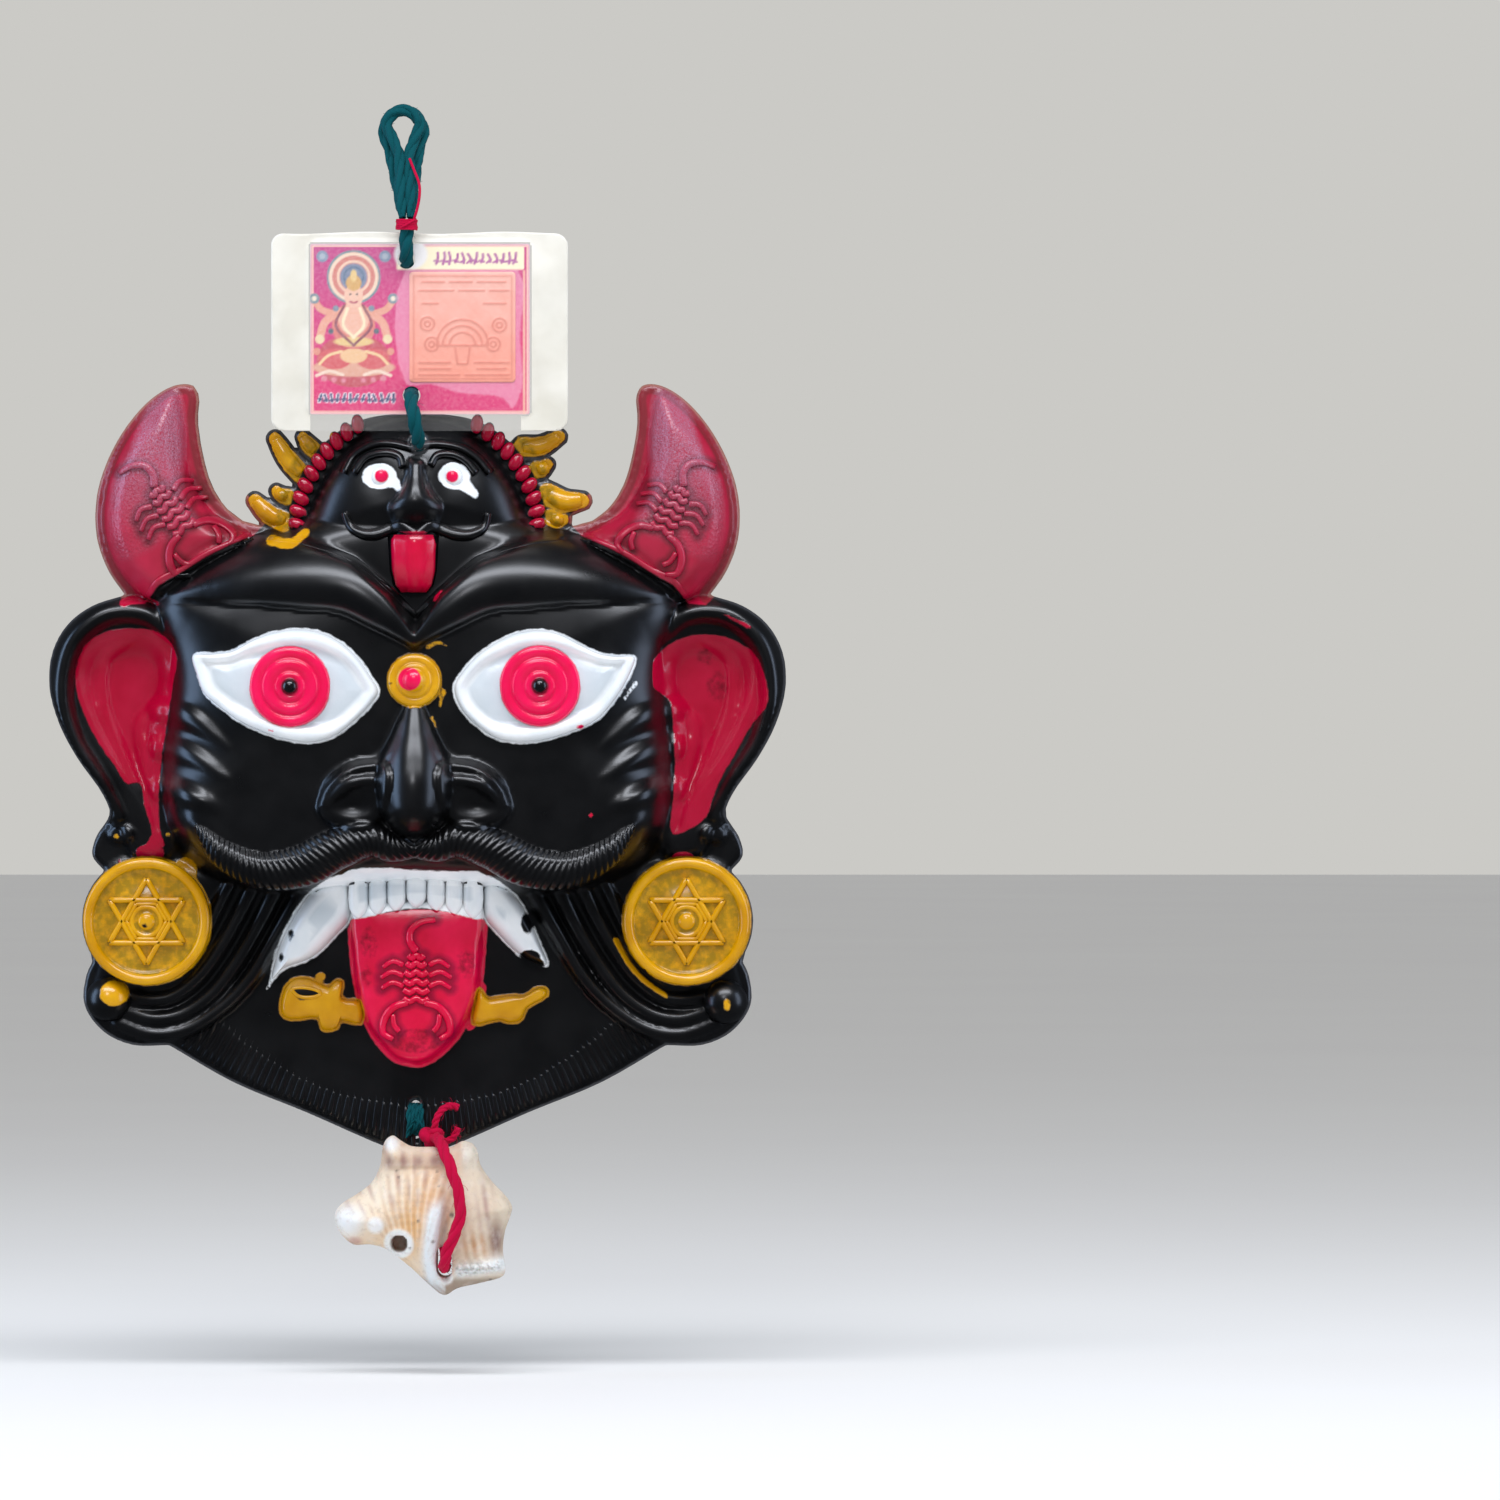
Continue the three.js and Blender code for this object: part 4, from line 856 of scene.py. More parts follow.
iris_profile = [(0, -1.2), (12.8, -1.2), (13, 1.2), (12.8, 2.0), (12.1, 2.5), (10.6, 2.6), (9.8, 2.2),
                (9.3, 1.9), (8.9, 2.5), (8.4, 3.0), (7.2, 3.1), (5.7, 2.8), (5.1, 2.3), (4.7, 2.8),
                (4.2, 3.3), (3.3, 3.3), (2.7, 2.8), (2.5, 4.2), (1.8, 5.2), (0.9, 5.8), (0, 5.9)]
for eye, side, iris in ((eye_left, -1, iris_places[0]), (eye_right, 1, iris_places[1])):
    lid = smooth_line(eye, 5, closed=True)
    heart = [(side * 24, -3), (side * 42, -1.5), (side * 58, 0.5)]
    add_cushion(lid, heart, [(0.0, eye_level - 3.5), (0.0, eye_level + 0.8), (0.03, eye_level + 2.2),
                             (0.08, eye_level + 3.0), (0.14, eye_level + 3.3), (0.2, eye_level + 3.1),
                             (0.27, eye_level + 2.3), (0.33, eye_level + 1.5), (0.4, eye_level + 1.3),
                             (0.5, eye_level + 1.7), (0.62, eye_level + 2.1), (0.8, eye_level + 2.4)])
    add_turned(detail, *iris, [(radius, eye_level + 1.6 + level) for radius, level in iris_profile])

# The mark between the brows: a stepped disc with a bead
bindi_level = float(sample(depth, 3, 0))
bindi_profile = [(0, -1), (8.5, -1.4), (8.5, 2.4), (8.1, 3.2), (7.2, 3.5), (6.2, 3.4), (5.8, 3.2), (5.5, 3.9),
                 (5.0, 4.3), (4.2, 4.4), (3.7, 4.3), (3.4, 5.4), (2.6, 6.4), (1.4, 7.0), (0, 7.2)]
add_turned(detail, 0, 0, [(radius, bindi_level + level) for radius, level in bindi_profile], 48)

# The moustache: a roll with a slanted groove for every hair
hair_pitch = 2.15
for side in (1, -1):
    course = even_line(smooth_line([(side * x, z) for x, z in moustache_line], 10), 0.3)
    ahead = np.gradient(course, axis=0)
    ahead /= np.linalg.norm(ahead, axis=1)[:, None]
    stops = np.linspace(0, 1, len(course))
    knots = np.linspace(0, 1, len(moustache_widths))
    widths, heights = np.interp(stops, knots, moustache_widths), np.interp(stops, knots, moustache_heights)
    around = 15
    upper = np.stack([course[:, 0], course[:, 1] + widths * 0.5], axis=1)
    seat = np.maximum(sample(plain_face, *course.T), sample(plain_face, *upper.T) - 1.5)

    def moustache_place(column, row):
        column %= around + 1
        i = min(max(row - 1, 0), len(course) - 1)
        turn = math.pi * column / (around - 1)
        across, up = side * math.cos(turn), math.sin(turn)
        if column == around:
            across, up = 0, -0.4
        phase = (0.3 * i + side * 3.2 * across) / hair_pitch
        groove = 0.95 * (0.5 + 0.5 * math.cos(2 * math.pi * phase)) ** 2 * max(up, 0) ** 0.5
        if row in (0, len(course) + 1):
            across, up, groove = 0, 0, 0
        x = course[i][0] + ahead[i][1] * across * (widths[i] - groove)
        z = course[i][1] - ahead[i][0] * across * (widths[i] - groove)
        return spot(x, z, seat[i] + up * (heights[i] - groove))

    bent_grid(detail, around + 1, len(course) + 1, moustache_place)

# The beard: ribs that fan out from under the tongue to the edge
fan_middle = -7
rib_pitch = 1.05  # degrees; 2.4 mm at the beard's middle
for k in range(-34, 35):
    angle = math.radians((k + 0.5) * rib_pitch)
    reach = np.arange(100, 165, 0.5)
    x, z = reach * math.sin(angle), fan_middle - reach * math.cos(angle)
    on_beard = (sample(mouth_in, np.abs(x), z) < -1.8) & (sample(hair_in, x, z) < -0.5)
    free = on_beard & (sample(solid_in, x, z) > 1.5)
    if free.sum() > 8:
        line = np.stack([x[free], z[free]], axis=1)
        add_ridge(line[np.linspace(0, len(line) - 1, 5).astype(int)], (0.3, 0.6, 0.85, 0.85),
                  (-0.1, 0.1, 0.3, 0.42), 4, 0.3)

# Thin raised lines: over the brow, and along the horns' lower edge
brow_crease = [(0, 21.2), (7.8, 29.3), (20.2, 39.4), (34.5, 44.3), (48, 46.5)]
horn_border = [(53.7, 47.4), (63.2, 43), (68.1, 40.7), (76.5, 35.5), (83.7, 31.6), (87.4, 26.6)]
for side in (1, -1):
    add_ridge(smooth_line([(side * x, z) for x, z in brow_crease], 5), (1.0, 0.9, 0.8), (0.9, 0.7, 0.3), 5)
    add_ridge(smooth_line([(side * x, z) for x, z in horn_border], 5), 1.5, (1.3, 1.2, 0.9), 6)

# Teeth and fangs
tooth_edges = (-22, -15.6, -9.6, -3.4, 3.4, 9.4, 15.2, 21.6)
tooth_feet = (-77.4, -76.4, -75.2, -73.8, -75.2, -76.4, -77.4)
for left, right, foot in zip(tooth_edges[:-1], tooth_edges[1:], tooth_feet):
    left, right = left + 0.2, right - 0.2
    middle = (left + right) / 2
    edge = smooth_line([(left + 0.6, -60.5), (left, -64), (left, foot + 3.4), (left + 1.6, foot + 0.8),
                        (middle, foot), (right - 1.6, foot + 0.8), (right, foot + 3.4), (right, -64),
                        (right - 0.6, -60.5)], 3, closed=True)
    add_cushion(edge, [(middle, -62.5), (middle, foot + 3.4)], [(0, 5)] + rounded(12.4, 16.2, 0.7))
for left, right in ((-13.4, -3.4), (2.6, 12)):
    middle = (left + right) / 2
    lip = smooth_line([(left, -60.4), (middle - 2, -59), (middle + 2, -59), (right, -60.2)], 5)
    add_ridge(lip, (0.5, 0.8, 0.5), 1.0, 5, 2, np.full(X.shape, 16.4))
for fang, side in ((fang_left, -1), (fang_right, 1)):
    edge = smooth_line(fang, 5, closed=True)
    heart = [(side * 25.5, -69.5), (side * 33, -79), (side * 39.5, -88)]
    add_cushion(edge, heart, [(0, 1)] + rounded(3, 12.4, 0.7, 7))

# The sword across the mouth: its hilt on the left, its point on the right
hilt = [(-44.3, -108.4), (-43.3, -100.3), (-39.7, -97.0), (-35.2, -97.0), (-28.7, -99.6), (-26.6, -97.6),
        (-24.4, -97.8), (-24.7, -103.4), (-18.5, -104.5), (-18.5, -111.6), (-25.1, -110.7), (-26.4, -113.3),
        (-30.9, -113.6), (-32.2, -109.9), (-41.4, -110.3)]
point = [(18.2, -111.8), (19.2, -104), (20.2, -100.4), (23, -103.4), (25.6, -103.2), (30.6, -102.4),
         (34.6, -102.6), (39.6, -99.8), (42.1, -100.5), (42.1, -102.6), (35.6, -106.6), (34, -110.2),
         (30.4, -111.4), (26.6, -110.4)]
add_cushion(smooth_line(hilt, 3, closed=True), [(-40, -106.5), (-30, -105), (-21, -107.8)],
            [(0, 1)] + rounded(4, 7.2, 0.5))
add_cushion(smooth_line(point, 3, closed=True), [(22, -107.6), (31, -106.6), (38.6, -102.4)],
            [(0, 1)] + rounded(4, 7.2, 0.5))
slot = smooth_line([(-40.6, -100.4), (-38, -99.8), (-33, -100.6), (-31.4, -101.8), (-33.4, -102.8),
                    (-38.6, -102.6)], 4, closed=True)
add_ridge(np.vstack([slot, slot[:2]]), 0.7, 0.8, ground=np.full(X.shape, 6.9))

# Medallions: a rim, a groove and a six-pointed star of raised bars round a ringed boss
medal_profile = [(0, 10.6), (19.6, 10.6), (19.6, 2), (20.4, 1.4), (20.7, 11.8), (20.4, 12.9), (19.5, 13.6),
                 (18.5, 13.6), (17.6, 12.9), (17.2, 11.8), (16.8, 11.4), (15.2, 11.4), (5.8, 11.4),
                 (5.4, 12.2), (4.9, 12.5), (4.3, 12.4), (3.9, 11.8), (2.9, 11.7), (2.5, 12.7), (1.7, 13.3),
                 (0, 13.5)]
medal_ground = np.full(X.shape, 11.4)
star_radius = 13.9
for side in (1, -1):
    cx = side * medal[0]
    add_turned(detail, cx, medal[1], medal_profile, 96)
    for first in (90, 270):
        corners = round_about(cx, medal[1], star_radius, range(first, first + 361, 120))
        for a, b in zip(corners[:-1], corners[1:]):
            add_ridge(np.linspace(a, b, 13), 1.0, 1.5, 5, ground=medal_ground)
    hexagon = round_about(cx, medal[1], 6.6, range(0, 361, 60))
    for a, b in zip(hexagon[:-1], hexagon[1:]):
        add_ridge(np.linspace(a, b, 6), 0.8, 1.3, 4, ground=medal_ground)

# Curl balls at the ends of the hair
for x, z in ((-100.6, -103.6), (100.3, -104.5)):
    ball = [(0, 3)] + [(7.3 * math.cos(t), 5 + 8.2 * math.sin(t)) for t in np.linspace(-0.5, math.pi / 2, 9)]
    add_turned(detail, x, z, ball, 40)


animal_lines = []


def scorpion(place, tilt, scale, side):
    """A scorpion in low relief, tail up, with its head at its place."""
    c, s = math.cos(math.radians(tilt)), math.sin(math.radians(tilt))

    def set_down(points, steps=4):
        turned_points = [(place[0] + side * scale * (x * c + z * s), place[1] + scale * (z * c - x * s))
                         for x, z in points]
        animal_lines.append(smooth_line(turned_points, 2))
        return smooth_line(turned_points, steps)

    half = 3.6
    for z in (1.2, 3.7, 6.2, 8.7, 11.2, 13.4):
        w = half * (1 - 0.35 * (z / 13) ** 3)
        segment = set_down([(-w, z), (-w / 2, z - 0.9), (0, z + 0.1), (w / 2, z - 0.9), (w, z)], 3)
        add_ridge(segment, 0.95 * scale, 1.5, 5)
    for mirror in (1, -1):
        for z, reach in ((10.6, 5.8), (7.6, 6.4), (4.6, 6.2)):
            add_ridge(set_down([(mirror * half, z), (mirror * (half + reach * 0.5), z + 1.1),
                                (mirror * (half + reach), z - 0.6)]), (0.85 * scale, 0.65 * scale), 1.3, 4)
        claw = [(mirror * 2.4, 0), (mirror * 6.2, -1.2), (mirror * 9.0, -4.6), (mirror * 9.4, -8.6),
                (mirror * 6.6, -10.4)]
        add_ridge(set_down(claw), (1.0 * scale, 1.2 * scale, 0.8 * scale), 1.5, 5)
        add_ridge(set_down([(mirror * 6.6, -3.4), (mirror * 6.2, -6.4), (mirror * 4.8, -8.2)]), 0.8 * scale,
                  1.3, 4)
    tail = [(0, 14.4), (-1.8, 17.4), (-1.4, 20.6), (1.6, 22.8), (5.4, 23.4)]
    add_ridge(set_down(tail), (1.2 * scale, 0.8 * scale), 1.5, 5)


scorpion((-74.6, 49), 37, 1.2, -1)
scorpion((79.4, 48.4), 27, 1.15, 1)
scorpion((0, -104.5), 0, 1.15, 1)

# The crown: a rope of red beads round the small head, and rays outside it
bead_line = [(19.4, 83.6), (24, 80.2), (28.6, 75.8), (32.8, 70.4), (36.2, 64.4), (38.4, 58), (39, 51.2),
             (38.2, 46.4)]
for side in (1, -1):
    for x, z in even_line(smooth_line([(side * x, z) for x, z in bead_line], 6), 4.4):
        lean = math.atan2(z - 52, x) + math.radians(side * 24)
        level = float(sample(depth, x, z))
        middle = spot(x, z, max(4.0, min(level + 0.5, 8.5)))
        turned_bead = Matrix.Rotation(-lean, 4, "Y") @ Matrix.Diagonal((3.4, 2.3, 2.1, 1))
        bmesh.ops.create_uvsphere(detail, u_segments=12, v_segments=8, radius=0.001,
                                  matrix=Matrix.Translation(middle) @ turned_bead)
for foot, tip, half_width in rays:
    add_ridge(ray_line(foot, tip), (half_width * 0.8, half_width, half_width, half_width * 0.8),
              (2.8, 3.8, 3.8, 2.6), 8, ground=np.full(X.shape, flange + 0.2))

# The small head's lines: the brow, the eyebrow rolls, the moustache, eyes and faceted tongue
head_folds = [
    ([(-24, 67.6), (-20.8, 73.6), (-14.0, 77.2), (-7.8, 77.4), (-1.6, 75.8)], 1.4, 2.0),
    ([(24.2, 67.6), (20, 72.6), (14.3, 76.0), (5.9, 77.2), (-1.6, 75.8)], 1.4, 2.0),
    ([(-20.4, 67.6), (-16.6, 72.6), (-9.8, 74.2), (-5.4, 72.8), (-4.4, 69.4)], 1.3, 1.9),
    ([(19.6, 67.6), (16.4, 71.4), (12.0, 73.6), (6.8, 73.2), (4.9, 70.0)], 1.3, 1.9),
    ([(-23.4, 54.6), (-21.6, 50.6), (-17.6, 47.9), (-13.2, 47.6), (-8.4, 49.2), (-5.0, 49.8), (0.6, 47.6)],
     (1.1, 2.1, 1.7), 2.3),
    ([(23.6, 54.4), (22.2, 50.0), (17.6, 47.4), (12.8, 47.6), (8.6, 49.0), (5.0, 49.9), (0.6, 47.6)],
     (1.1, 2.1, 1.7), 2.3),
]
for line, half_width, height in head_folds:
    add_ridge(smooth_line(line, 5), half_width, height, 6)
for x, z in ((-11.3, 66.3), (12.0, 66.1)):
    level = float(sample(depth, x, z))
    add_turned(detail, x, z, [(0, level - 1), (3.2, level - 1), (3.1, level + 0.3), (2.2, level + 1.1),
                              (1.0, level + 1.4), (0, level + 1.5)], 24)
flap = [(-9.2, 0), (-6.4, 4.2), (-3.4, 4.6), (-2.8, 5.6), (2.6, 5.6), (3.4, 4.6), (5.8, 4.0), (7.6, 0)]
flap_levels = [(47.2, 1.0), (44, 1.0), (36, 0.96), (31, 0.84), (28.6, 0.62)]
flap_ground = float(sample(depth, 0, 36)) - 0.6


def flap_place(column, row):
    column %= len(flap) + 1
    level, shrink = flap_levels[min(max(row - 1, 0), len(flap_levels) - 1)]
    x, up = flap[column] if column < len(flap) else (-1, -1.2)
    if row in (0, len(flap_levels) + 1):
        x, up = -0.9, 0
    return spot(-0.9 + (x + 0.9) * shrink, level, flap_ground + max(up, -1) * shrink)


bent_grid(detail, len(flap) + 1, len(flap_levels) + 1, flap_place)

detail_mesh = bpy.data.meshes.new("mask_detail")
bmesh.ops.remove_doubles(detail, verts=detail.verts, dist=2e-6)
bmesh.ops.recalc_face_normals(detail, faces=detail.faces)
detail.to_mesh(detail_mesh)
detail.free()

# Where each paint was brushed on, and where shade and a highlight are painted: how far inside its edge every
# vertex lies, in millimetres
whole = bmesh.new()
whole.from_mesh(thinned)
whole.from_mesh(detail_mesh)
mask_mesh = bpy.data.meshes.new("demon_mask")
whole.to_mesh(mask_mesh)
whole.free()
places = np.empty(len(mask_mesh.vertices) * 3)
mask_mesh.vertices.foreach_get("co", places)
places = places.reshape(-1, 3) * 1000
vx, vz, vd = places[:, 0] - mask_axis, places[:, 2] - mask_datum, nail_stand_off - places[:, 1]
va = np.abs(vx)
behind = vd < sample(back_depth, vx, vz) + 0.45


def disc(x, z, radius, squeeze=1.0):
    return radius - np.hypot(vx - x, (vz - z) * squeeze)


def streak(points, half_width, taper=0.3):
    gap, share = nearest(smooth_line(points, 4), vx, vz)
    return half_width * (1 - (1 - taper) * share) - gap


def area(points, steps=3):
    return inside(smooth_line(points, steps, closed=True), vx, vz)


def either(*fields):
    return np.maximum.reduce(fields)


horn_area = inside(np.array([(48.5, 52.5), (53.7, 47.2), (63.2, 42.8), (68.1, 40.3), (76.5, 35), (83.7, 31),
                             (88.4, 25.2), (94, 24.6), (98, 28.6), (115, 34), (115, 85), (92, 104), (62, 104),
                             (62, 70), (55, 60)]), va, vz)
plateau = inside(smooth_line([(78.5, 95), (86.9, 90.2), (91.4, 79), (93.2, 73.9), (98.4, 64.8), (99.6, 54.7),
                              (98.9, 44.6), (96.1, 39.1), (89, 41), (84, 44), (76, 47), (71, 52), (76.0, 60),
                              (75.9, 80.4)], 4, closed=True), va, vz)
bowl_left = area([(-79.1, 11.1), (-83.7, 15.6), (-91.5, 17), (-100.3, 16.3), (-107.1, 12.4), (-110.7, 4.6),
                  (-111.0, -1.6), (-108.1, -11.4), (-103.2, -20.8), (-97.7, -28.7), (-94.5, -33.5),
                  (-90.5, -33), (-88.6, -41.0), (-86.3, -50), (-88.2, -54), (-82.0, -54), (-83.4, -50.1),
                  (-84.0, -43.3), (-83.7, -31.9), (-82.4, -20.8), (-80.1, -6.8), (-79.0, 0.7), (-77.8, 6.2)])
bowl_right = area([(76.2, 4.6), (76.9, -1.6), (80.1, -4.6), (82.4, -6.8), (83.4, -15.3), (84.0, -26.4),
                   (83.4, -37.8), (83.0, -49.8), (88.9, -48.2), (94.1, -44.3), (96.4, -37.8), (99.0, -31.6),
                   (103.6, -23.8), (109.1, -14.0), (113.6, -8.5), (114.3, -3.9), (111.4, 6.2), (108.1, 10.4),
                   (100.3, 14.3), (91.2, 15.0), (83.4, 12.7), (78.5, 8.5)])
tongue_paint = area([(-21.6, -77.8), (-12, -75.6), (2.3, -74.2), (14, -75.6), (22.2, -77.8), (22.4, -86.0),
                     (21.2, -99.3), (17.2, -110.7), (10.8, -119.9), (3.3, -125.4), (-0.3, -126),
                     (-7.6, -124.3), (-13.6, -118.3), (-17.3, -112.0), (-20.6, -100.3), (-22.2, -88.9)])
bowls = np.where(vd < 15, either(bowl_left, bowl_right), -8.0)
bead_gap = nearest(smooth_line(bead_line, 6), va, vz)[0]
beads = np.where((vd > np.maximum(4.6, sample(depth, vx, vz) + 0.3)) & (vd < 11), 3.4 - bead_gap, -3.0)
small_tongue = area([(-9.8, 46.4), (7.8, 46.4), (7.4, 32), (3.6, 28), (-5, 28), (-8.6, 32)])
small_tongue = np.where(vd > sample(depth, vx, vz) + 0.35, small_tongue, -8.0)
red_marks = either(bowls, tongue_paint, beads, small_tongue, disc(-86.9, -56, 4.6, 1.6),
                   disc(86.6, -57.6, 3.6, 1.8), streak([(-95, 25.5), (-90, 27.2), (-84, 25)], 1.6),
                   streak([(20, -100), (19.4, -108), (17, -112)], 2.4, 0.8),
                   streak([(96, -21), (100, -19)], 0.8), streak([(108, 17.5), (100, 21.6)], 0.7),
                   streak([(6.4, 26.4), (9, 29.6)], 0.8), streak([(-21, -108), (-19, -112)], 1.6),
                   disc(57, -43.6, 0.7), disc(-97, -58.6, 0.6))
teeth_paint = area([(-23.4, -62.6), (-13.4, -60.6), (2.9, -61.6), (14, -61.8), (22.4, -62.6), (22.2, -77.2),
                    (10.7, -75.2), (1.6, -73.9), (-8.5, -75.0), (-20.5, -77.4), (-22.6, -76)])
fang_paints = [inside(smooth_line(fang, 4, closed=True), vx, vz) + 0.5 for fang in (fang_left, fang_right)]
bare_patches = either(disc(35.9, -78.7, 2.0, 0.6), disc(36.8, -89.6, 3.4, 1.6), disc(39.6, -92.2, 1.8),
                      disc(-40.9, -82.7, 1.1, 0.55), disc(-44, -90, 0.9, 0.6))
white_marks = either(area(eye_left, 5) + 0.6, area(eye_right, 5) + 0.6, teeth_paint, *fang_paints,
                     streak([(-45.6, -88), (-47.6, -97.6), (-49, -100.4)], 0.9), disc(-11.9, 66.3, 5.6, 1.35),
                     streak([(-10, 65), (-6.8, 64), (-5.6, 62.4)], 2.5, 0.4), disc(12.4, 66.4, 5.0, 1.15),
                     streak([(12.5, 65.6), (16.6, 62.9), (19.2, 60.4)], 2.5, 0.5),
                     streak([(68.4, 0.6), (62.6, -7.8), (57.4, -12.8)], 1.0),
                     streak([(71.4, -0.8), (67.6, -6.2)], 0.6))
white_marks = np.minimum(white_marks, -bare_patches)
medals = np.where(vd < 14.2, medal_radius + 0.5 - np.hypot(va - medal[0], vz - medal[1]), -8.0)
yellow_marks = either(medals, disc(0, 0, 8.9), inside(smooth_line(hilt, 3, closed=True), vx, vz) + 0.6,
                      inside(smooth_line(point, 3, closed=True), vx, vz) + 0.6,
                      np.minimum(sample(ray_in, vx, vz) + np.where(vd > 3.0, 0.2, -1.2), bead_gap - 2.7),
                      disc(-98.3, -101.6, 4.6, 1.1), disc(100.9, -105.2, 1.1, 0.6),
                      area([(-79, -59.5), (-74.9, -57.4), (-71.6, -61), (-73.4, -66), (-77, -66)]),
                      streak([(64.8, -84.3), (69, -92), (75, -98.4), (81.1, -102.6)], 0.9, 0.8),
                      streak([(4.4, 10.8), (7.6, 12.2), (10.4, 11.2)], 0.7),
                      streak([(9.4, -3.6), (8.2, -8.4)], 0.8), streak([(5.6, -12), (7.2, -15.4)], 0.5),
                      streak([(-47, 45.6), (-40.4, 44.4), (-36, 48.2)], 1.8, 0.8), disc(-98, -50.6, 0.9),
                      disc(-81, -50, 0.6), disc(73.6, 84.4, -0.2), disc(-31.6, -96.4, 1.6),
                      disc(31.4, 81.4, 2.2, 1.6), disc(-30, 80.6, 2.4, 1.6))
yellow_marks = np.minimum(yellow_marks, np.where(vd > 7.4, 9, -0.2 - inside(slot, vx, vz)))
pink_marks = either(*(disc(x, z, iris_radius + 0.2) - 9 * (vd < eye_level + 1.2) for x, z in iris_places),
                    disc(-1.4, 0.4, 3.7), disc(-11.1, 66.4, 2.2), disc(11.8, 66.3, 2.0),
                    disc(-46.2, -16.2, 0.9, 1.4), disc(53.6, -15.0, 1.2, 1.6))
pupils = either(*(disc(x, z, 2.7) for x, z in iris_places), np.where(va > 60, -9, disc(-7.6, -1.0, 0.6)),
                disc(-88.2, -79.4, 0.9), disc(74, -94.6, 1.0))
# Distance out towards the trimmed rim: a painted highlight lies along its edge, and the horns' lacquer turns
# brown inside it
rim_line = 0.75 - sample(solid_in, vx, vz)
medal_field = np.where((medals > 3.2) & (vd < 11.9), 2.0, -2.0)
near_line = np.full(vx.shape, 9.0)
for line in animal_lines:
    close_by = (np.abs(vx - line[:, 0].mean()) < 16) & (np.abs(vz - line[:, 1].mean()) < 16)
    near_line[close_by] = np.minimum(near_line[close_by], nearest(line, vx[close_by], vz[close_by])[0])
hollow_shade = np.where(vd < sample(depth, vx, vz) + 0.5, 2.2 - near_line, -4.0)
# Painted shade at the rays' roots near the beads, laid on as the thin paint's olive
ray_root_shade = np.minimum(sample(ray_in, vx, vz), 7.0 - bead_gap)
thin_paint_and_root_shade = either(medal_field, ray_root_shade, disc(-15.4, -85, 2.6, 0.6), disc(16.4, -92, 3.0, 0.7),
                    disc(0, -117, 8, 2), disc(-16.4, -96, 1.8, 0.6), disc(98, -2, 3.4, 0.7), disc(94, 8, 2.6))

paints = {"horn_paint": horn_area, "horn_plateau": plateau, "red_paint": red_marks,
          "white_paint": white_marks, "yellow_paint": yellow_marks, "pink_paint": pink_marks,
          "black_spots": pupils, "trimmed_rim": rim_line, "thin_paint_and_shade": thin_paint_and_root_shade,
          "hollow_shade": hollow_shade}
for paint, field in paints.items():
    values = np.clip(np.where(behind, -8.0, field), -8, 8).astype(np.float32)
    mask_mesh.attributes.new(paint, "FLOAT", "POINT").data.foreach_set("value", values)

# Polystyrene, moulded with a satin gloss, under brushed enamels: crimson lacquer over stippled
# horns, hot red, white and yellow, each with a ragged brushed edge and bare spots that show black.
painted_plastic, tree, shader = material_of("painted moulded polystyrene",
                                            {"IOR": 1.5, "Specular IOR Level": 0.85})
object_place = add(tree, "TexCoord", {}, "Object")
brush_edge = add(tree, "TexNoise", {"Vector": object_place, "Scale": 420.0, "Detail": 3.0, "Roughness": 0.6})
blotches = add(tree, "TexNoise", {"Vector": object_place, "Scale": 90.0, "Detail": 3.0})
fine_grain = add(tree, "TexNoise", {"Vector": object_place, "Scale": 2600.0, "Detail": 2.0})


def covers(paint, ragged, soft=0.25):
    """1 where a paint covers: inside its edge, which wanders by so many millimetres."""
    depth_in = add(tree, "Attribute", {"attribute_name": paint}, "Fac")
    wander = add(tree, "MapRange", {"Value": brush_edge, "To Min": -ragged, "To Max": ragged})
    edge = add(tree, "Math", {"operation": "ADD", 0: depth_in, 1: wander})
    return add(tree, "MapRange", {"Value": edge, "From Min": -soft, "From Max": soft})


def coated(ground, coat, field, low=0.0, high=1.0, share=1.0):
    """A colour that turns from ground to coat as a field rises from low to high, at most by share."""
    cover = add(tree, "MapRange", {"Value": field, "From Min": low, "From Max": high, "To Max": share})
    return add(tree, "MixRGB", {"Fac": cover, "Color1": ground, "Color2": coat})


# Where the paint is thin over rough spots, and where shade is painted: at the rays' roots and in the hollows
thin_paint_and_shade_cover = covers("thin_paint_and_shade", 0.7, 0.7)
shade_cover = covers("hollow_shade", 0.4, 0.9)
sideways = add(tree, "SeparateXYZ", {"Vector": object_place}, "X")
outward = add(tree, "Math", {"operation": "ABSOLUTE", 0: sideways})
upward = add(tree, "SeparateXYZ", {"Vector": object_place}, "Z")

# Bare plastic, with a painted highlight: a grey line along the trimmed rim
rim_highlight = covers("trimmed_rim", 0.25)
black = coated(linear("#070708"), linear("#0e0e0f"), blotches, 0.35, 0.7)
black = coated(black, linear("#5b5c60"), rim_highlight, share=0.55)

# The horns' lacquer: brown where it thins towards the rim, a painted pale highlight on its edge, painted shade
# along the scorpions' lines, and a painted lavender sheen on the stippled upper flats, stronger higher up
rim_depth = add(tree, "Attribute", {"attribute_name": "trimmed_rim"}, "Fac")
horn_red = coated(linear("#a4002c"), linear("#ba0038"), blotches, 0.3, 0.7)
horn_red = coated(horn_red, linear("#52010f"), shade_cover, share=0.6)
horn_red = coated(horn_red, linear("#702523"), rim_depth, -3.0, -2.2, 0.6)
# Painted highlight: a pale line along the horns' trimmed rim
horn_red = coated(horn_red, linear("#a8786a"), rim_highlight, share=0.75)
plateau_cover = covers("horn_plateau", 0.8, 1.2)
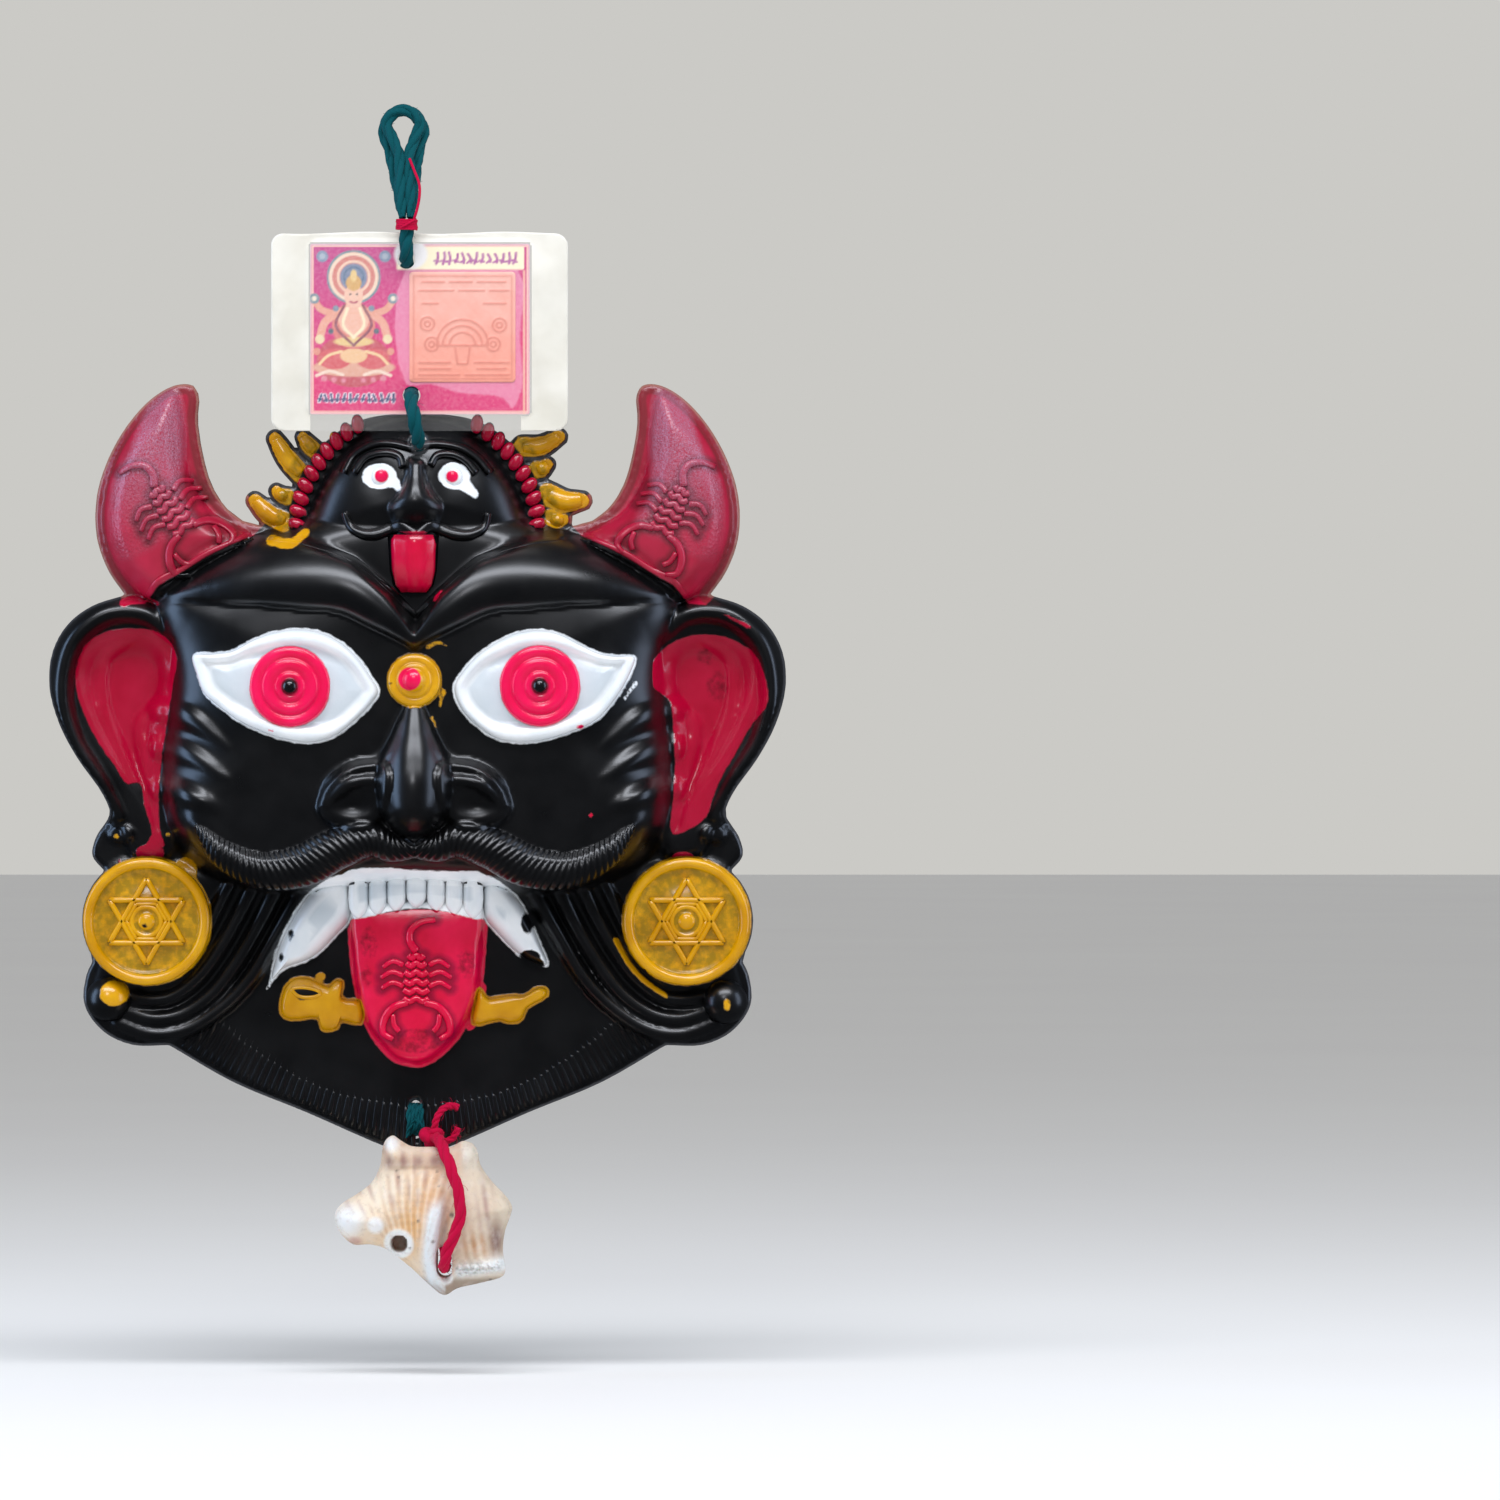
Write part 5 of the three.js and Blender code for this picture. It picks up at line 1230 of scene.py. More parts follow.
# Painted sheen: lavender over the plateau's stipple, stronger higher up
lavender_sheen = add(tree, "MapRange", {"Value": upward, "To Min": 0.15, "To Max": 0.95,
                                "From Min": (48 + mask_datum) / 1000, "From Max": (74 + mask_datum) / 1000})
lavender_sheen = add(tree, "Math", {"operation": "MULTIPLY", 0: plateau_cover, 1: lavender_sheen})
specks = add(tree, "MapRange", {"Value": fine_grain, "From Min": 0.3, "From Max": 0.7})
lavender_sheen = add(tree, "Math", {"operation": "MULTIPLY", 0: lavender_sheen, 1: specks})
horn_red = coated(horn_red, linear("#b07c94"), lavender_sheen)
horn_cover = covers("horn_paint", 0.3)
colour = coated(black, horn_red, horn_cover)

# Hot red, darker out on the moustache's ends and up on the small head
red = coated(linear("#d60036"), linear("#f00048"), blotches, 0.35, 0.7)
red = coated(red, linear("#980026"), outward, 0.06, 0.078, 0.7)
red = coated(red, linear("#7c0020"), upward, (44 + mask_datum) / 1000, (47 + mask_datum) / 1000, 0.6)
worn_and_shaded = add(tree, "MapRange", {"Value": brush_edge, "From Min": 0.35, "From Max": 0.7})
worn_and_shaded = add(tree, "Math", {"operation": "MULTIPLY", 0: thin_paint_and_shade_cover, 1: worn_and_shaded})
red = coated(red, linear("#6a0019"), worn_and_shaded, share=0.8)
red = coated(red, linear("#700030"), shade_cover, share=0.6)
red_cover = covers("red_paint", 0.45)
colour = coated(colour, red, red_cover)

# White, greyer deep inside the eyes as painted shade
white_depth = add(tree, "Attribute", {"attribute_name": "white_paint"}, "Fac")
white = coated(linear("#e6edf1"), linear("#fbfdfe"), blotches, 0.3, 0.7)
white = coated(white, linear("#c2cdd5"), white_depth, 4.6, 5.8, 0.65)
white_cover = covers("white_paint", 0.55)
colour = coated(colour, white, white_cover)

# Yellow, worn to olive where the black shows through, and olive as painted shade at the rays' roots
yellow = coated(linear("#cc8e00"), linear("#e6aa00"), blotches, 0.35, 0.7)
worn_and_shaded = add(tree, "MapRange", {"Value": brush_edge, "From Min": 0.3, "From Max": 0.6})
worn_and_shaded = add(tree, "Math", {"operation": "MULTIPLY", 0: thin_paint_and_shade_cover, 1: worn_and_shaded})
yellow = coated(yellow, linear("#6e6414"), worn_and_shaded, share=0.6)
yellow_cover = covers("yellow_paint", 0.45)
colour = coated(colour, yellow, yellow_cover)

# Pink irises, and black pupils on top of it all
pink = coated(linear("#ec0048"), linear("#fa0058"), blotches, 0.35, 0.7)
pink_cover = covers("pink_paint", 0.2)
colour = coated(colour, pink, pink_cover)
colour = coated(colour, linear("#101011"), covers("black_spots", 0.2))
tree.links.new(colour, shader.inputs["Base Color"])

paint_cover = red_cover
for cover in (white_cover, yellow_cover, pink_cover):
    paint_cover = add(tree, "Math", {"operation": "MAXIMUM", 0: paint_cover, 1: cover})
roughness = add(tree, "Math", {"operation": "MULTIPLY_ADD", 0: blotches, 1: 0.12, 2: 0.24})
for cover, change in ((horn_cover, 0.06), (paint_cover, -0.09)):
    roughness = add(tree, "Math", {"operation": "MULTIPLY_ADD", 0: cover, 1: change, 2: roughness})
tree.links.new(roughness, shader.inputs["Roughness"])

# The thickness of the paint, its brush marks, the stipple of the horns and the plastic's own grain
stipple = add(tree, "TexVoronoi", {"Vector": object_place, "Scale": 900.0, "Randomness": 1.0}, "Distance")
height = add(tree, "Math", {"operation": "MULTIPLY", 0: paint_cover, 1: 0.5})
for texture, cover, amount in ((brush_edge, paint_cover, 0.35), (stipple, plateau_cover, 0.9),
                               (fine_grain, 1.0, 0.06)):
    covered = add(tree, "Math", {"operation": "MULTIPLY", 0: texture, 1: cover})
    height = add(tree, "Math", {"operation": "MULTIPLY_ADD", 0: covered, 1: amount, 2: height})
bump = add(tree, "Bump", {"Strength": 0.55, "Distance": 0.0003, "Height": height})
tree.links.new(bump, shader.inputs["Normal"])

mask_mesh.materials.append(painted_plastic)
mask_mesh.shade_smooth()
mask = bpy.data.objects.new("demon_mask", mask_mesh)
bpy.context.scene.collection.objects.link(mask)
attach(mask, "root")
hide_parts("mask_shell")

# The card: a small print laminated between two films. The films are bonded and milky round it,
# and clear over it and along its foot. The cord passes through two punched holes.

pouch_box = (-47.2, 81.2, 49.2, 145.6)
card_box = (-34.5, 86.6, 36.8, 142)
foil_box = (-2.3, 97, 32.2, 132.9)
punched = ((-3.3, 136.8), (-1.6, 92.8))
punch_size = 5.7
film_cell = 0.5
card_grid = (np.arange(-48.5, 50.5, film_cell), np.arange(80, 147, film_cell))
CX, CZ = np.meshgrid(*card_grid)


def in_box(box, x, z, corner=0.0):
    """How far inside a box with rounded corners; negative outside."""
    left, bottom, right, top = box
    across = np.abs(x - (left + right) / 2) - (right - left) / 2 + corner
    up = np.abs(z - (bottom + top) / 2) - (top - bottom) / 2 + corner
    return corner - np.hypot(np.maximum(across, 0), np.maximum(up, 0)) - np.minimum(np.maximum(across, up), 0)


def clear_of_holes(field, size):
    for x, z in punched:
        field = np.minimum(field, np.hypot(CX - x, CZ - z) - size / 2)
    return field


film_wave = 0.22 * np.sin(CX / 6.3 + 1) * np.sin(CZ / 7.9) + 0.1 * np.sin(CX / 2.9 + CZ / 4.1)
top_edge = 0.35 * np.sin(CX / 7.1 + 0.6) * ramp(CZ - 120, 20)
pouch_in = clear_of_holes(in_box(pouch_box, CX, CZ + top_edge, 4), punch_size)
seal = ramp(in_box(card_box, CX, CZ, 3) + 2.2, 2.6)
foil_swell = ramp(in_box(foil_box, CX, CZ, 3) + 2.4, 2.6)
film_front = 12.35 + film_wave * (1 - seal) + 0.62 * seal + 0.22 * foil_swell + 0.1 * film_wave * seal
film_back = film_front - 0.75 - 0.62 * seal - 0.22 * foil_swell

bm, _ = trimmed_sheet(card_grid, pouch_in, film_front, film_back)
pocket, _ = trimmed_sheet(card_grid, clear_of_holes(in_box(card_box, CX, CZ, 0.6) + 0.4, punch_size + 0.4),
                          film_front - 0.2, film_back + 0.2)
bmesh.ops.reverse_faces(pocket, faces=pocket.faces)
pocket_mesh = bpy.data.meshes.new("pocket")
pocket.to_mesh(pocket_mesh)
pocket.free()
bm.from_mesh(pocket_mesh)
for face in bm.faces:
    middle = face.calc_center_median() * 1000
    x, z = middle.x - mask_axis, middle.z - mask_datum
    over_card = in_box(card_box, x, z, 1) > -0.6
    foot_band = z < card_box[1] and card_box[0] < x < card_box[2] - 3
    face.material_index = int(over_card or foot_band)

# Polyester film, laminated hot: milky where it bonded to itself, and glossy with shallow waves
milky_film, tree, shader = material_of("milky laminating film", {
    "Alpha": 0.97, "Roughness": 0.32, "IOR": 1.5})
object_place = add(tree, "TexCoord", {}, "Object")
clouds = add(tree, "TexNoise", {"Vector": object_place, "Scale": 70.0, "Detail": 3.0})
wide_clouds = add(tree, "TexNoise", {"Vector": object_place, "Scale": 30.0, "Detail": 1.0})
film = coated(linear("#e2ddce"), linear("#f4f0e4"), clouds, 0.3, 0.7)
film = coated(film, linear("#d9d6cb"), wide_clouds, 0.45, 0.75, 0.5)
tree.links.new(film, shader.inputs["Base Color"])


def roughen(scale, detail, strength, height):
    """Covers the material in fine bumps, so many times a metre, so strong and so many metres high."""
    grain = add(tree, "TexNoise", {"Vector": object_place, "Scale": scale, "Detail": detail})
    bump = add(tree, "Bump", {"Strength": strength, "Distance": height, "Height": grain})
    tree.links.new(bump, shader.inputs["Normal"])


roughen(240.0, 2.0, 0.3, 0.0003)

# The same film where nothing is bonded behind it: clear, and seen mostly by its gloss
clear_film, tree, shader = material_of("clear laminating film", {
    "Base Color": linear("#f4f2ee"), "Alpha": 0.04, "Roughness": 0.12, "IOR": 1.5})
object_place = add(tree, "TexCoord", {}, "Object")
roughen(180.0, 2.0, 0.2, 0.0002)

pouch = finished(bm, "laminating_pouch", [milky_film, clear_film])
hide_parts("laminate_pouch")

# The printed card in the film's pocket: a seated figure under a ring, over a title strip and a foot
# line whose strokes are no letters. It is printed on its front only.
card_front = 12.5
card_back = 12.1
print_grid = (np.arange(-35.2, 37.8, 0.4), np.arange(86, 143, 0.4))
CX, CZ = np.meshgrid(*print_grid)
card_in = clear_of_holes(in_box(card_box, CX, CZ, 0.6), punch_size + 0.1)
bm, _ = trimmed_sheet(print_grid, card_in, np.full(CX.shape, card_front), np.full(CX.shape, card_back))


def over(ground, colour, cover):
    """Lays a colour over a ground where cover, from 0 to 1, says."""
    return ground + (np.array(linear(colour)[:3]) - ground) * np.clip(cover, 0, 1)[:, None]


def edge_of(depth_in, soft=0.3):
    """1 inside an edge and 0 outside it, over a soft border."""
    return np.clip(depth_in / soft + 0.5, 0, 1)


def with_colours(name, bm, colours):
    """A mesh's vertices with a colour each: printed or natural markings, and the glare and shade painted among
    them.
    """
    layer = bm.verts.layers.float_color.new(name)
    for vert, colour in zip(bm.verts, colours):
        vert[layer] = (*colour, 1)


places = np.array([vert.co for vert in bm.verts]) * 1000
x, z = places[:, 0] - mask_axis, places[:, 2] - mask_datum


def ring_at(cx, cz, radius, width, squeeze=1.0):
    return width / 2 - np.abs(np.hypot(x - cx, (z - cz) * squeeze) - radius)


def spot_at(cx, cz, half_width, half_height):
    return (1 - np.hypot((x - cx) / half_width, (z - cz) / half_height)) * min(half_width, half_height)


def stroke_at(points, half_width):
    return half_width - nearest(smooth_line(points, 4), x, z)[0]


up_card = (z - card_box[1]) / (card_box[3] - card_box[1])
card_colours = np.repeat(np.array(linear("#e0006c")[:3])[None], len(x), 0)
card_colours = over(card_colours, "#c03a86", up_card * 1.15 - 0.2 - (x + 34) / 260)
card_colours = over(card_colours, "#f5f1ee", edge_of(0.5 - in_box(card_box, x, z)) * 0.5)
card_colours = over(card_colours, "#f6c4b4", edge_of(0.28 - np.abs(in_box(card_box, x, z) - 0.75)))
card_colours = over(card_colours, "#f2b9a0", edge_of(0.3 - np.abs(x - 35.0)) * (z < 133.4))
halo = (-20.4, 131.2)
for radius, width, colour in ((4.0, 8.0, "#d98d84"), (8.4, 0.7, "#6f8f96"), (7.5, 1.1, "#f0d3b8"),
                              (6.2, 1.2, "#d67e72"), (5.1, 0.8, "#efc9ae"), (2.2, 4.4, "#7c86a0"),
                              (3.1, 0.6, "#56718c")):
    card_colours = over(card_colours, colour, edge_of(ring_at(*halo, radius, width)))
for cx, cz, wide, high, colour in ((-20.4, 104, 12.0, 8.6, "#c94757"), (-20.4, 101.8, 13.4, 3.0, "#e2a58c"),
                                   (-26.6, 104.6, 5.4, 3.4, "#d9565c"), (-14.2, 104.6, 5.4, 3.4, "#d9565c"),
                                   (-20.4, 105.6, 4.4, 2.4, "#efc08f"), (-20.4, 115.4, 7.0, 7.6, "#dd7f74"),
                                   (-20.4, 117.6, 5.0, 5.4, "#eeb59c"), (-20.4, 110.2, 6.4, 1.5, "#e9c584"),
                                   (-20.4, 125.0, 3.1, 3.7, "#f0bfa6"), (-20.4, 129.3, 2.5, 2.6, "#d8a65e"),
                                   (-20.4, 131.6, 1.1, 2.0, "#e8c684")):
    card_colours = over(card_colours, colour, edge_of(spot_at(cx, cz, wide, high)))
for side in (1, -1):
    for points, half_width, colour in (([(5, 120), (9.4, 116.4), (10.8, 112.2)], 1.3, "#e9a58d"),
                                       ([(5.4, 119), (10.4, 120.6), (12.6, 123.2)], 1.1, "#e6a088"),
                                       ([(2.0, 121), (3.4, 115.6), (0, 111.6)], 0.5, "#f4e2bc"),
                                       ([(3.0, 122), (5.8, 115.4), (0, 109)], 0.4, "#8e3f52"),
                                       ([(3.4, 99.4), (7.8, 100.6), (12, 99.2)], 0.5, "#f3d6c0"),
                                       ([(4, 107), (8.4, 105.6), (11, 103)], 0.45, "#f3cf9a")):
        card_colours = over(card_colours, colour, edge_of(stroke_at([(halo[0] + side * px, pz) for px, pz in points],
                                                  half_width)))
    for px, pz, size, colour in ((11, 111, 1.5, "#ecd6a8"), (12.8, 124.2, 1.7, "#7f9199"),
                                 (12.8, 124.2, 0.8, "#f0e0c8"), (5.8, 121, 1.0, "#7d8d9c"),
                                 (7.4, 113.6, 0.9, "#53606c"), (12, 107, 1.2, "#e2907a"),
                                 (1.1, 125.6, 0.35, "#43333c"), (10.2, 137.9, 1.9, "#8191a8"),
                                 (10.2, 137.9, 1.0, "#a9b2bd"), (9.6, 98.2, 1.0, "#e07f92"),
                                 (6.4, 97.8, 0.9, "#e07f92"), (3.2, 97.6, 0.8, "#e07f92")):
        card_colours = over(card_colours, colour, edge_of(size - np.hypot(x - halo[0] - side * px, z - pz)))
card_colours = over(card_colours, "#b8455f", edge_of(stroke_at([(-21.6, 123.2), (-20.4, 122.8), (-19.2, 123.2)], 0.3)))

title_box = (-6.4, 133.6, 35.0, 141.0)
card_colours = over(card_colours, "#fbedc9", edge_of(in_box(title_box, x, z, 0.5)))
card_colours = over(card_colours, "#f6f1ef", edge_of(spot_at(-1.8, 138.6, 5.4, 4.8), 1.0))
draw = random.Random(5)
for k in range(13):
    cx = 6.6 + k * 2.12 + draw.uniform(-0.2, 0.2)
    lean, tall = draw.uniform(-0.5, 0.5), draw.uniform(1.2, 1.9)
    card_colours = over(card_colours, "#b0589a", edge_of(stroke_at([(cx - lean, 137.3 - tall), (cx + 0.3, 137.4),
                                                  (cx + lean, 137.3 + tall)], 0.42)))
    card_colours = over(card_colours, "#b0589a", edge_of(stroke_at([(cx - 0.8, 136.2 + lean), (cx + 0.7, 136.5 - lean)], 0.34)))
for k in range(13):
    cx = -31.4 + k * 2.0 + draw.uniform(-0.2, 0.2)
    lean, tall = draw.uniform(-0.5, 0.5), draw.uniform(0.9, 1.4)
    card_colours = over(card_colours, "#f3e9ef", edge_of(stroke_at([(cx - lean, 91.9 - tall), (cx + lean, 91.9 + tall)], 0.62)))
    card_colours = over(card_colours, "#2b3a6e", edge_of(stroke_at([(cx - lean, 91.9 - tall), (cx + lean, 91.9 + tall)], 0.36)))
    card_colours = over(card_colours, "#2b3a6e", edge_of(stroke_at([(cx - 0.7, 91.2 + lean), (cx + 0.6, 91.4)], 0.3)))
# Painted glare: a paler pink where the film is unbonded round the foil
unbonded_glare = inside(smooth_line([(-3.2, 134), (33, 133.4), (33.6, 112), (34.4, 96), (33.4, 92.6), (31.2, 88.6),
                               (28, 92), (14, 93.6), (4.6, 96.4), (-3.4, 96.6)], 4, closed=True), x, z)
card_colours = over(card_colours, "#f0a3bd", edge_of(unbonded_glare, 0.6) * 0.55 * (z < 133.2))
card_colours = np.where((places[:, 1] > nail_stand_off - (card_front + card_back) / 2)[:, None],
               np.array(linear("#ece8e0")[:3]), card_colours)
with_colours("print_and_glare", bm, card_colours)

# Coated card, offset printed: smooth and a little glossy, with a fine paper tooth
printed_card, tree, shader = material_of("offset printed coated card", {"Roughness": 0.42, "IOR": 1.48})
object_place = add(tree, "TexCoord", {}, "Object")
dots = add(tree, "TexNoise", {"Vector": object_place, "Scale": 900.0, "Detail": 2.0})
printed = coated(add(tree, "Attribute", {"attribute_name": "print_and_glare"}), linear("#ffffff"), dots, 0.4, 0.8, 0.1)
tree.links.new(printed, shader.inputs["Base Color"])
roughen(1500.0, 2.0, 0.15, 0.0001)
card = finished(bm, "printed_card_sheet", [printed_card], smooth=False)
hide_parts("printed_card")

# The foil on the card: thin embossed metal, its lines raised a little and in no writing
foil_grid = (np.arange(-3, 33.4, 0.4), np.arange(96.2, 134, 0.4))
CX, CZ = np.meshgrid(*foil_grid)
emboss = np.zeros(CX.shape)


def raise_line(points, half_width=0.34, height=0.16):
    gap = nearest(np.array(points, float), CX, CZ)[0]
    emboss[:] = np.maximum(emboss, height * np.clip(1 - (gap / half_width / 1.6) ** 2, 0, 1))


for level, start, stop in ((129.6, 2, 9), (129.6, 11, 18), (129.6, 20, 29), (126.8, 1, 12), (126.8, 14, 22),
                           (126.8, 24, 30), (122.6, 2, 7), (122.6, 22, 29), (103.4, 1, 11), (103.4, 19, 30),
                           (101.4, 1, 11), (101.4, 20, 29), (99.4, 1, 14), (99.4, 16, 30)):
    raise_line([(start, level), (stop, level)])
for radius in (4.2, 6.4, 8.4):
    raise_line(round_about(15, 109, radius, np.linspace(0, 180, 24)))
for cx, cz in ((5, 109.4), (25, 109.4), (27, 115.6), (3.6, 116)):
    for radius in (0.9, 2.2):
        raise_line(round_about(cx, cz, radius, np.linspace(0, 360, 20)))
raise_line([(6.6, 109), (23.4, 109)])
raise_line([(12.6, 108), (13.4, 103), (16.6, 103), (17.4, 108)])
raise_line([(-0.9, 98.2), (31, 98.2), (31, 131.6), (-0.9, 131.6), (-0.9, 98.2)], 0.3, 0.12)
dimple = 0.03 * np.sin(CX * 1.9) * np.sin(CZ * 1.7)
foil_front = 12.76 + emboss + dimple
bm, _ = trimmed_sheet(foil_grid, in_box(foil_box, CX, CZ, 1.2), foil_front, np.full(CX.shape, 12.6))
places = np.array([vert.co for vert in bm.verts]) * 1000
raised = sample(emboss, places[:, 0] - mask_axis, places[:, 2] - mask_datum, foil_grid) / emboss.max()
with_colours("raised", bm, np.repeat(raised[:, None], 3, 1))

# Copper-coloured aluminium foil, embossed: satin salmon, paler towards its top
copper_foil, tree, shader = material_of("embossed copper foil", {"Metallic": 0.1, "Roughness": 0.4})
object_place = add(tree, "TexCoord", {}, "Object")
upward = add(tree, "SeparateXYZ", {"Vector": object_place}, "Z")
patches = add(tree, "TexNoise", {"Vector": object_place, "Scale": 160.0, "Detail": 3.0})
raised_share = add(tree, "Attribute", {"attribute_name": "raised"}, "Fac")
foil_foot, foil_top = ((foil_box[end] + mask_datum) / 1000 for end in (1, 3))
salmon = coated(linear("#ffa188"), linear("#ffc4b4"), upward, foil_foot, foil_top)
salmon = coated(salmon, linear("#f58a70"), patches, 0.35, 0.75, 0.35)
salmon = coated(salmon, linear("#d9705c"), raised_share, share=0.6)
tree.links.new(salmon, shader.inputs["Base Color"])
roughen(1100.0, 2.0, 0.3, 0.0002)
foil = finished(bm, "embossed_foil", [copper_foil])
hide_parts("copper_foil")

# The sea shell: a whelk's broken body whorl, ribbed, with knobs, a drilled hole, and the mouth
# slit that the red wool is tied through. It lies flat against the wall below the beard.

shell_cell = 0.5
shell_grid = (np.arange(-29, 34, shell_cell), np.arange(-202, -145, shell_cell))
SX, SZ = np.meshgrid(*shell_grid)
shell_edge = smooth_line([(-11.5, -157), (-10.6, -151), (-9.4, -148.6), (-7.4, -147.6), (-5.2, -149),
                          (-1.6, -151), (5.5, -151.3), (11.4, -151.4), (15, -149.4), (18.2, -150.1),
                          (19.9, -152.4), (20.9, -157), (24.6, -162.4), (29.3, -167.4), (31.2, -170.8),
                          (30.6, -173.8), (28.9, -178.6), (28.2, -185), (29, -190.6), (28.4, -193),
                          (21, -195.4), (13.4, -197.2), (9.2, -199.4), (3.6, -195.2), (-1.1, -190.8),
                          (-5.4, -187.3), (-9.8, -184.2), (-15, -182.8), (-20, -182.9), (-23.7, -180),
                          (-26, -175.9), (-26, -172.2), (-23.4, -169.2), (-18.9, -166.4), (-14.2, -162.6)],
                         4, closed=True)
shell_in = inside(shell_edge, SX, SZ)
mouth = smooth_line([(12.6, -165), (10.6, -172), (9.2, -180), (8.6, -187), (9.6, -192.6)], 5)
mouth_gap, mouth_share = nearest(mouth, SX, SZ)
slit_in = 2.6 - np.hypot(SX - 9.5, np.maximum(np.abs(SZ + 188.2) - 2.6, 0))
drill = (-5.2, -182.3)
drill_gap = np.hypot(SX - drill[0], SZ - drill[1])
fan = (-1.0, -200.0)  # where the ribs run together
rib_angle = np.degrees(np.arctan2(SX - fan[0], SZ - fan[1]))
fan_reach = np.hypot(SX - fan[0], SZ - fan[1])


def swelling(x, z, radius, height, squeeze=1.0):
    """A rounded knob on the shell."""
    return height * np.exp(-((SX - x) ** 2 + ((SZ - z) * squeeze) ** 2) / (2 * radius ** 2))


body = rise(shell_in, 15)
shell_front = 17.2 + 10.5 * body
for knob in ((-1, -170, 10, 2.6, 1.1), (-21, -175, 4.6, 3.0), (-12.8, -176.6, 2.2, 1.6),
             (-8, -151.5, 2.6, 2.2), (17, -154, 3.0, 2.2), (27.4, -171.2, 3.0, 2.0),
             (20.5, -173, 6.5, 1.8, 0.7), (26, -190.5, 2.4, 1.8)):
    shell_front += swelling(*knob)
shoulder = -158.2 - 0.004 * (SX - 3) ** 2
shell_front += 1.1 * ramp(SZ - shoulder, 1.6) * (SX < 13) * ramp(SX + 12, 6) * ramp(13 - SX, 3)
shell_front -= 1.2 * ramp(SZ - shoulder - 4.6, 2.4) * (SX < 13) * ramp(SX + 12, 6) * ramp(13 - SX, 3)
rib_zone = ramp(shoulder - SZ, 2) * ramp(SX + 15, 6) * ramp(fan_reach - 13, 8) * ramp(shell_in - 1, 3)
rib_zone *= 1 - 0.6 * ramp(SX - 12, 4)
ribs = 0.5 + 0.5 * np.cos(2 * math.pi * rib_angle / 4.6 + 0.6 * np.sin(SZ / 4))
shell_front += 0.32 * rib_zone * (ribs - 0.4) * np.where(mouth_gap > 2.4, 1, 0.2)
shell_front += 0.06 * rib_zone * np.cos(2 * math.pi * fan_reach / 2.3)
left_of_mouth = np.sign(np.interp(-SZ, -mouth[:, 1], mouth[:, 0]) - SX)
lip = np.exp(-((mouth_gap - 3.5) / 2.7) ** 2) * (left_of_mouth > 0) * ramp(mouth_share - 0.05, 0.3)
shell_front += 1.7 * lip
shell_front -= 3.2 * np.clip(1 - (mouth_gap / 2.2) ** 2, 0, 1) * ramp(mouth_share - 0.02, 0.35)
crumbs = np.sin(SX * 2.3 + 1.7 * np.sin(SZ * 1.9)) * np.sin(SZ * 2.7 + 1.1 * np.sin(SX * 2.1))
broken = np.exp(-((SZ + 190.4 - 0.16 * (SX - 20)) / 2.4) ** 2) * ramp(SX - 11.5, 3)
shell_front += broken * (1.4 + 1.3 * crumbs)
shell_front -= 1.6 * ramp(-SZ - 192.6, 2.4) * ramp(SX - 4, 3)
shell_front += 0.14 * crumbs * (1 - rib_zone)
shell_front += 0.7 * np.exp(-((drill_gap - 4.2) / 1.1) ** 2)
shell_front = np.where(drill_gap < 2.7, 17.0 + 0.5 * crumbs, shell_front)
shell_front = np.where(shell_in < 0.7, np.minimum(shell_front, 20), shell_front)
shell_back = 16.6 - 8.8 * rise(shell_in, 12) + 0.3 * crumbs
shell_back += 0.5 * np.cos(2 * math.pi * rib_angle / 9) * ramp(shell_in - 2, 4)
bm, is_back = trimmed_sheet(shell_grid, np.minimum(shell_in, -slit_in), shell_front, shell_back)

places = np.array([vert.co for vert in bm.verts]) * 1000
x, z = places[:, 0] - mask_axis, places[:, 2] - mask_datum


def shell_value(field):
    return sample(field, x, z, shell_grid)


def patch(px, pz, wide, tall):
    """A soft patch on the shell, 1 at its middle."""
    return np.exp(-((x - px) / wide) ** 2 - ((z - pz) / tall) ** 2)


tone = np.repeat(np.array(linear("#ecd2b2")[:3])[None], len(x), 0)
tone = over(tone, "#f3e4cc", 0.8 * patch(-12, -168, 9, 9))
tone = over(tone, "#eeb874", 0.95 * patch(0, -176, 8, 8))
tone = over(tone, "#e9ae6c", 0.75 * patch(5.5, -170, 3.6, 9))
grooves = shell_value((1 - ribs) * rib_zone)
tone = over(tone, "#b98a6a", 0.32 * grooves ** 2)
tone = over(tone, "#f6ead8", 0.35 * shell_value(ribs * rib_zone) ** 3)
streaks = np.sin(rib_angle * 0.9 + 2 * np.sin(rib_angle * 0.23)) * np.sin(fan_reach / 3.1 + rib_angle / 5)
streaks = np.clip(streaks, 0, 1) * ramp(fan_reach - 26, 8)
tone = over(tone, "#a5766a", 0.5 * shell_value(streaks) * edge_of(13 - x, 4))
band = np.exp(-((z + 155.6 - 0.02 * (x - 2)) / 2.4) ** 2) * edge_of(x + 11, 5) * edge_of(12.5 - x, 5)
tone = over(tone, "#86605a", 0.8 * band * (0.75 + 0.25 * np.sin(x * 1.3)))
tone = over(tone, "#ecdcc6", 0.7 * np.exp(-((z + 151.8) / 1.3) ** 2) * edge_of(x + 7, 4))
tone = over(tone, "#eef0ef", 0.95 * np.exp(-(((x + 21.5) / 5.6) ** 2 + ((z + 175) / 5.4) ** 2) ** 1.6))
tone = over(tone, "#f7f8f8", 0.95 * edge_of(2.6 - np.hypot(x + 12.6, z + 176.2), 1.4))
tone = over(tone, "#c99a90", 0.7 * edge_of(2.2 - np.hypot(x + 19.6, (z + 181.6) * 1.5), 2))
tone = over(tone, "#f1f1ef", 0.9 * edge_of(2.2 - np.hypot(x + 7.6, z + 150), 2))
right_lobe = edge_of(x - np.interp(-z, -mouth[:, 1], mouth[:, 0]) - 2, 2.5)
tone = over(tone, "#dccdb6", 0.75 * right_lobe)
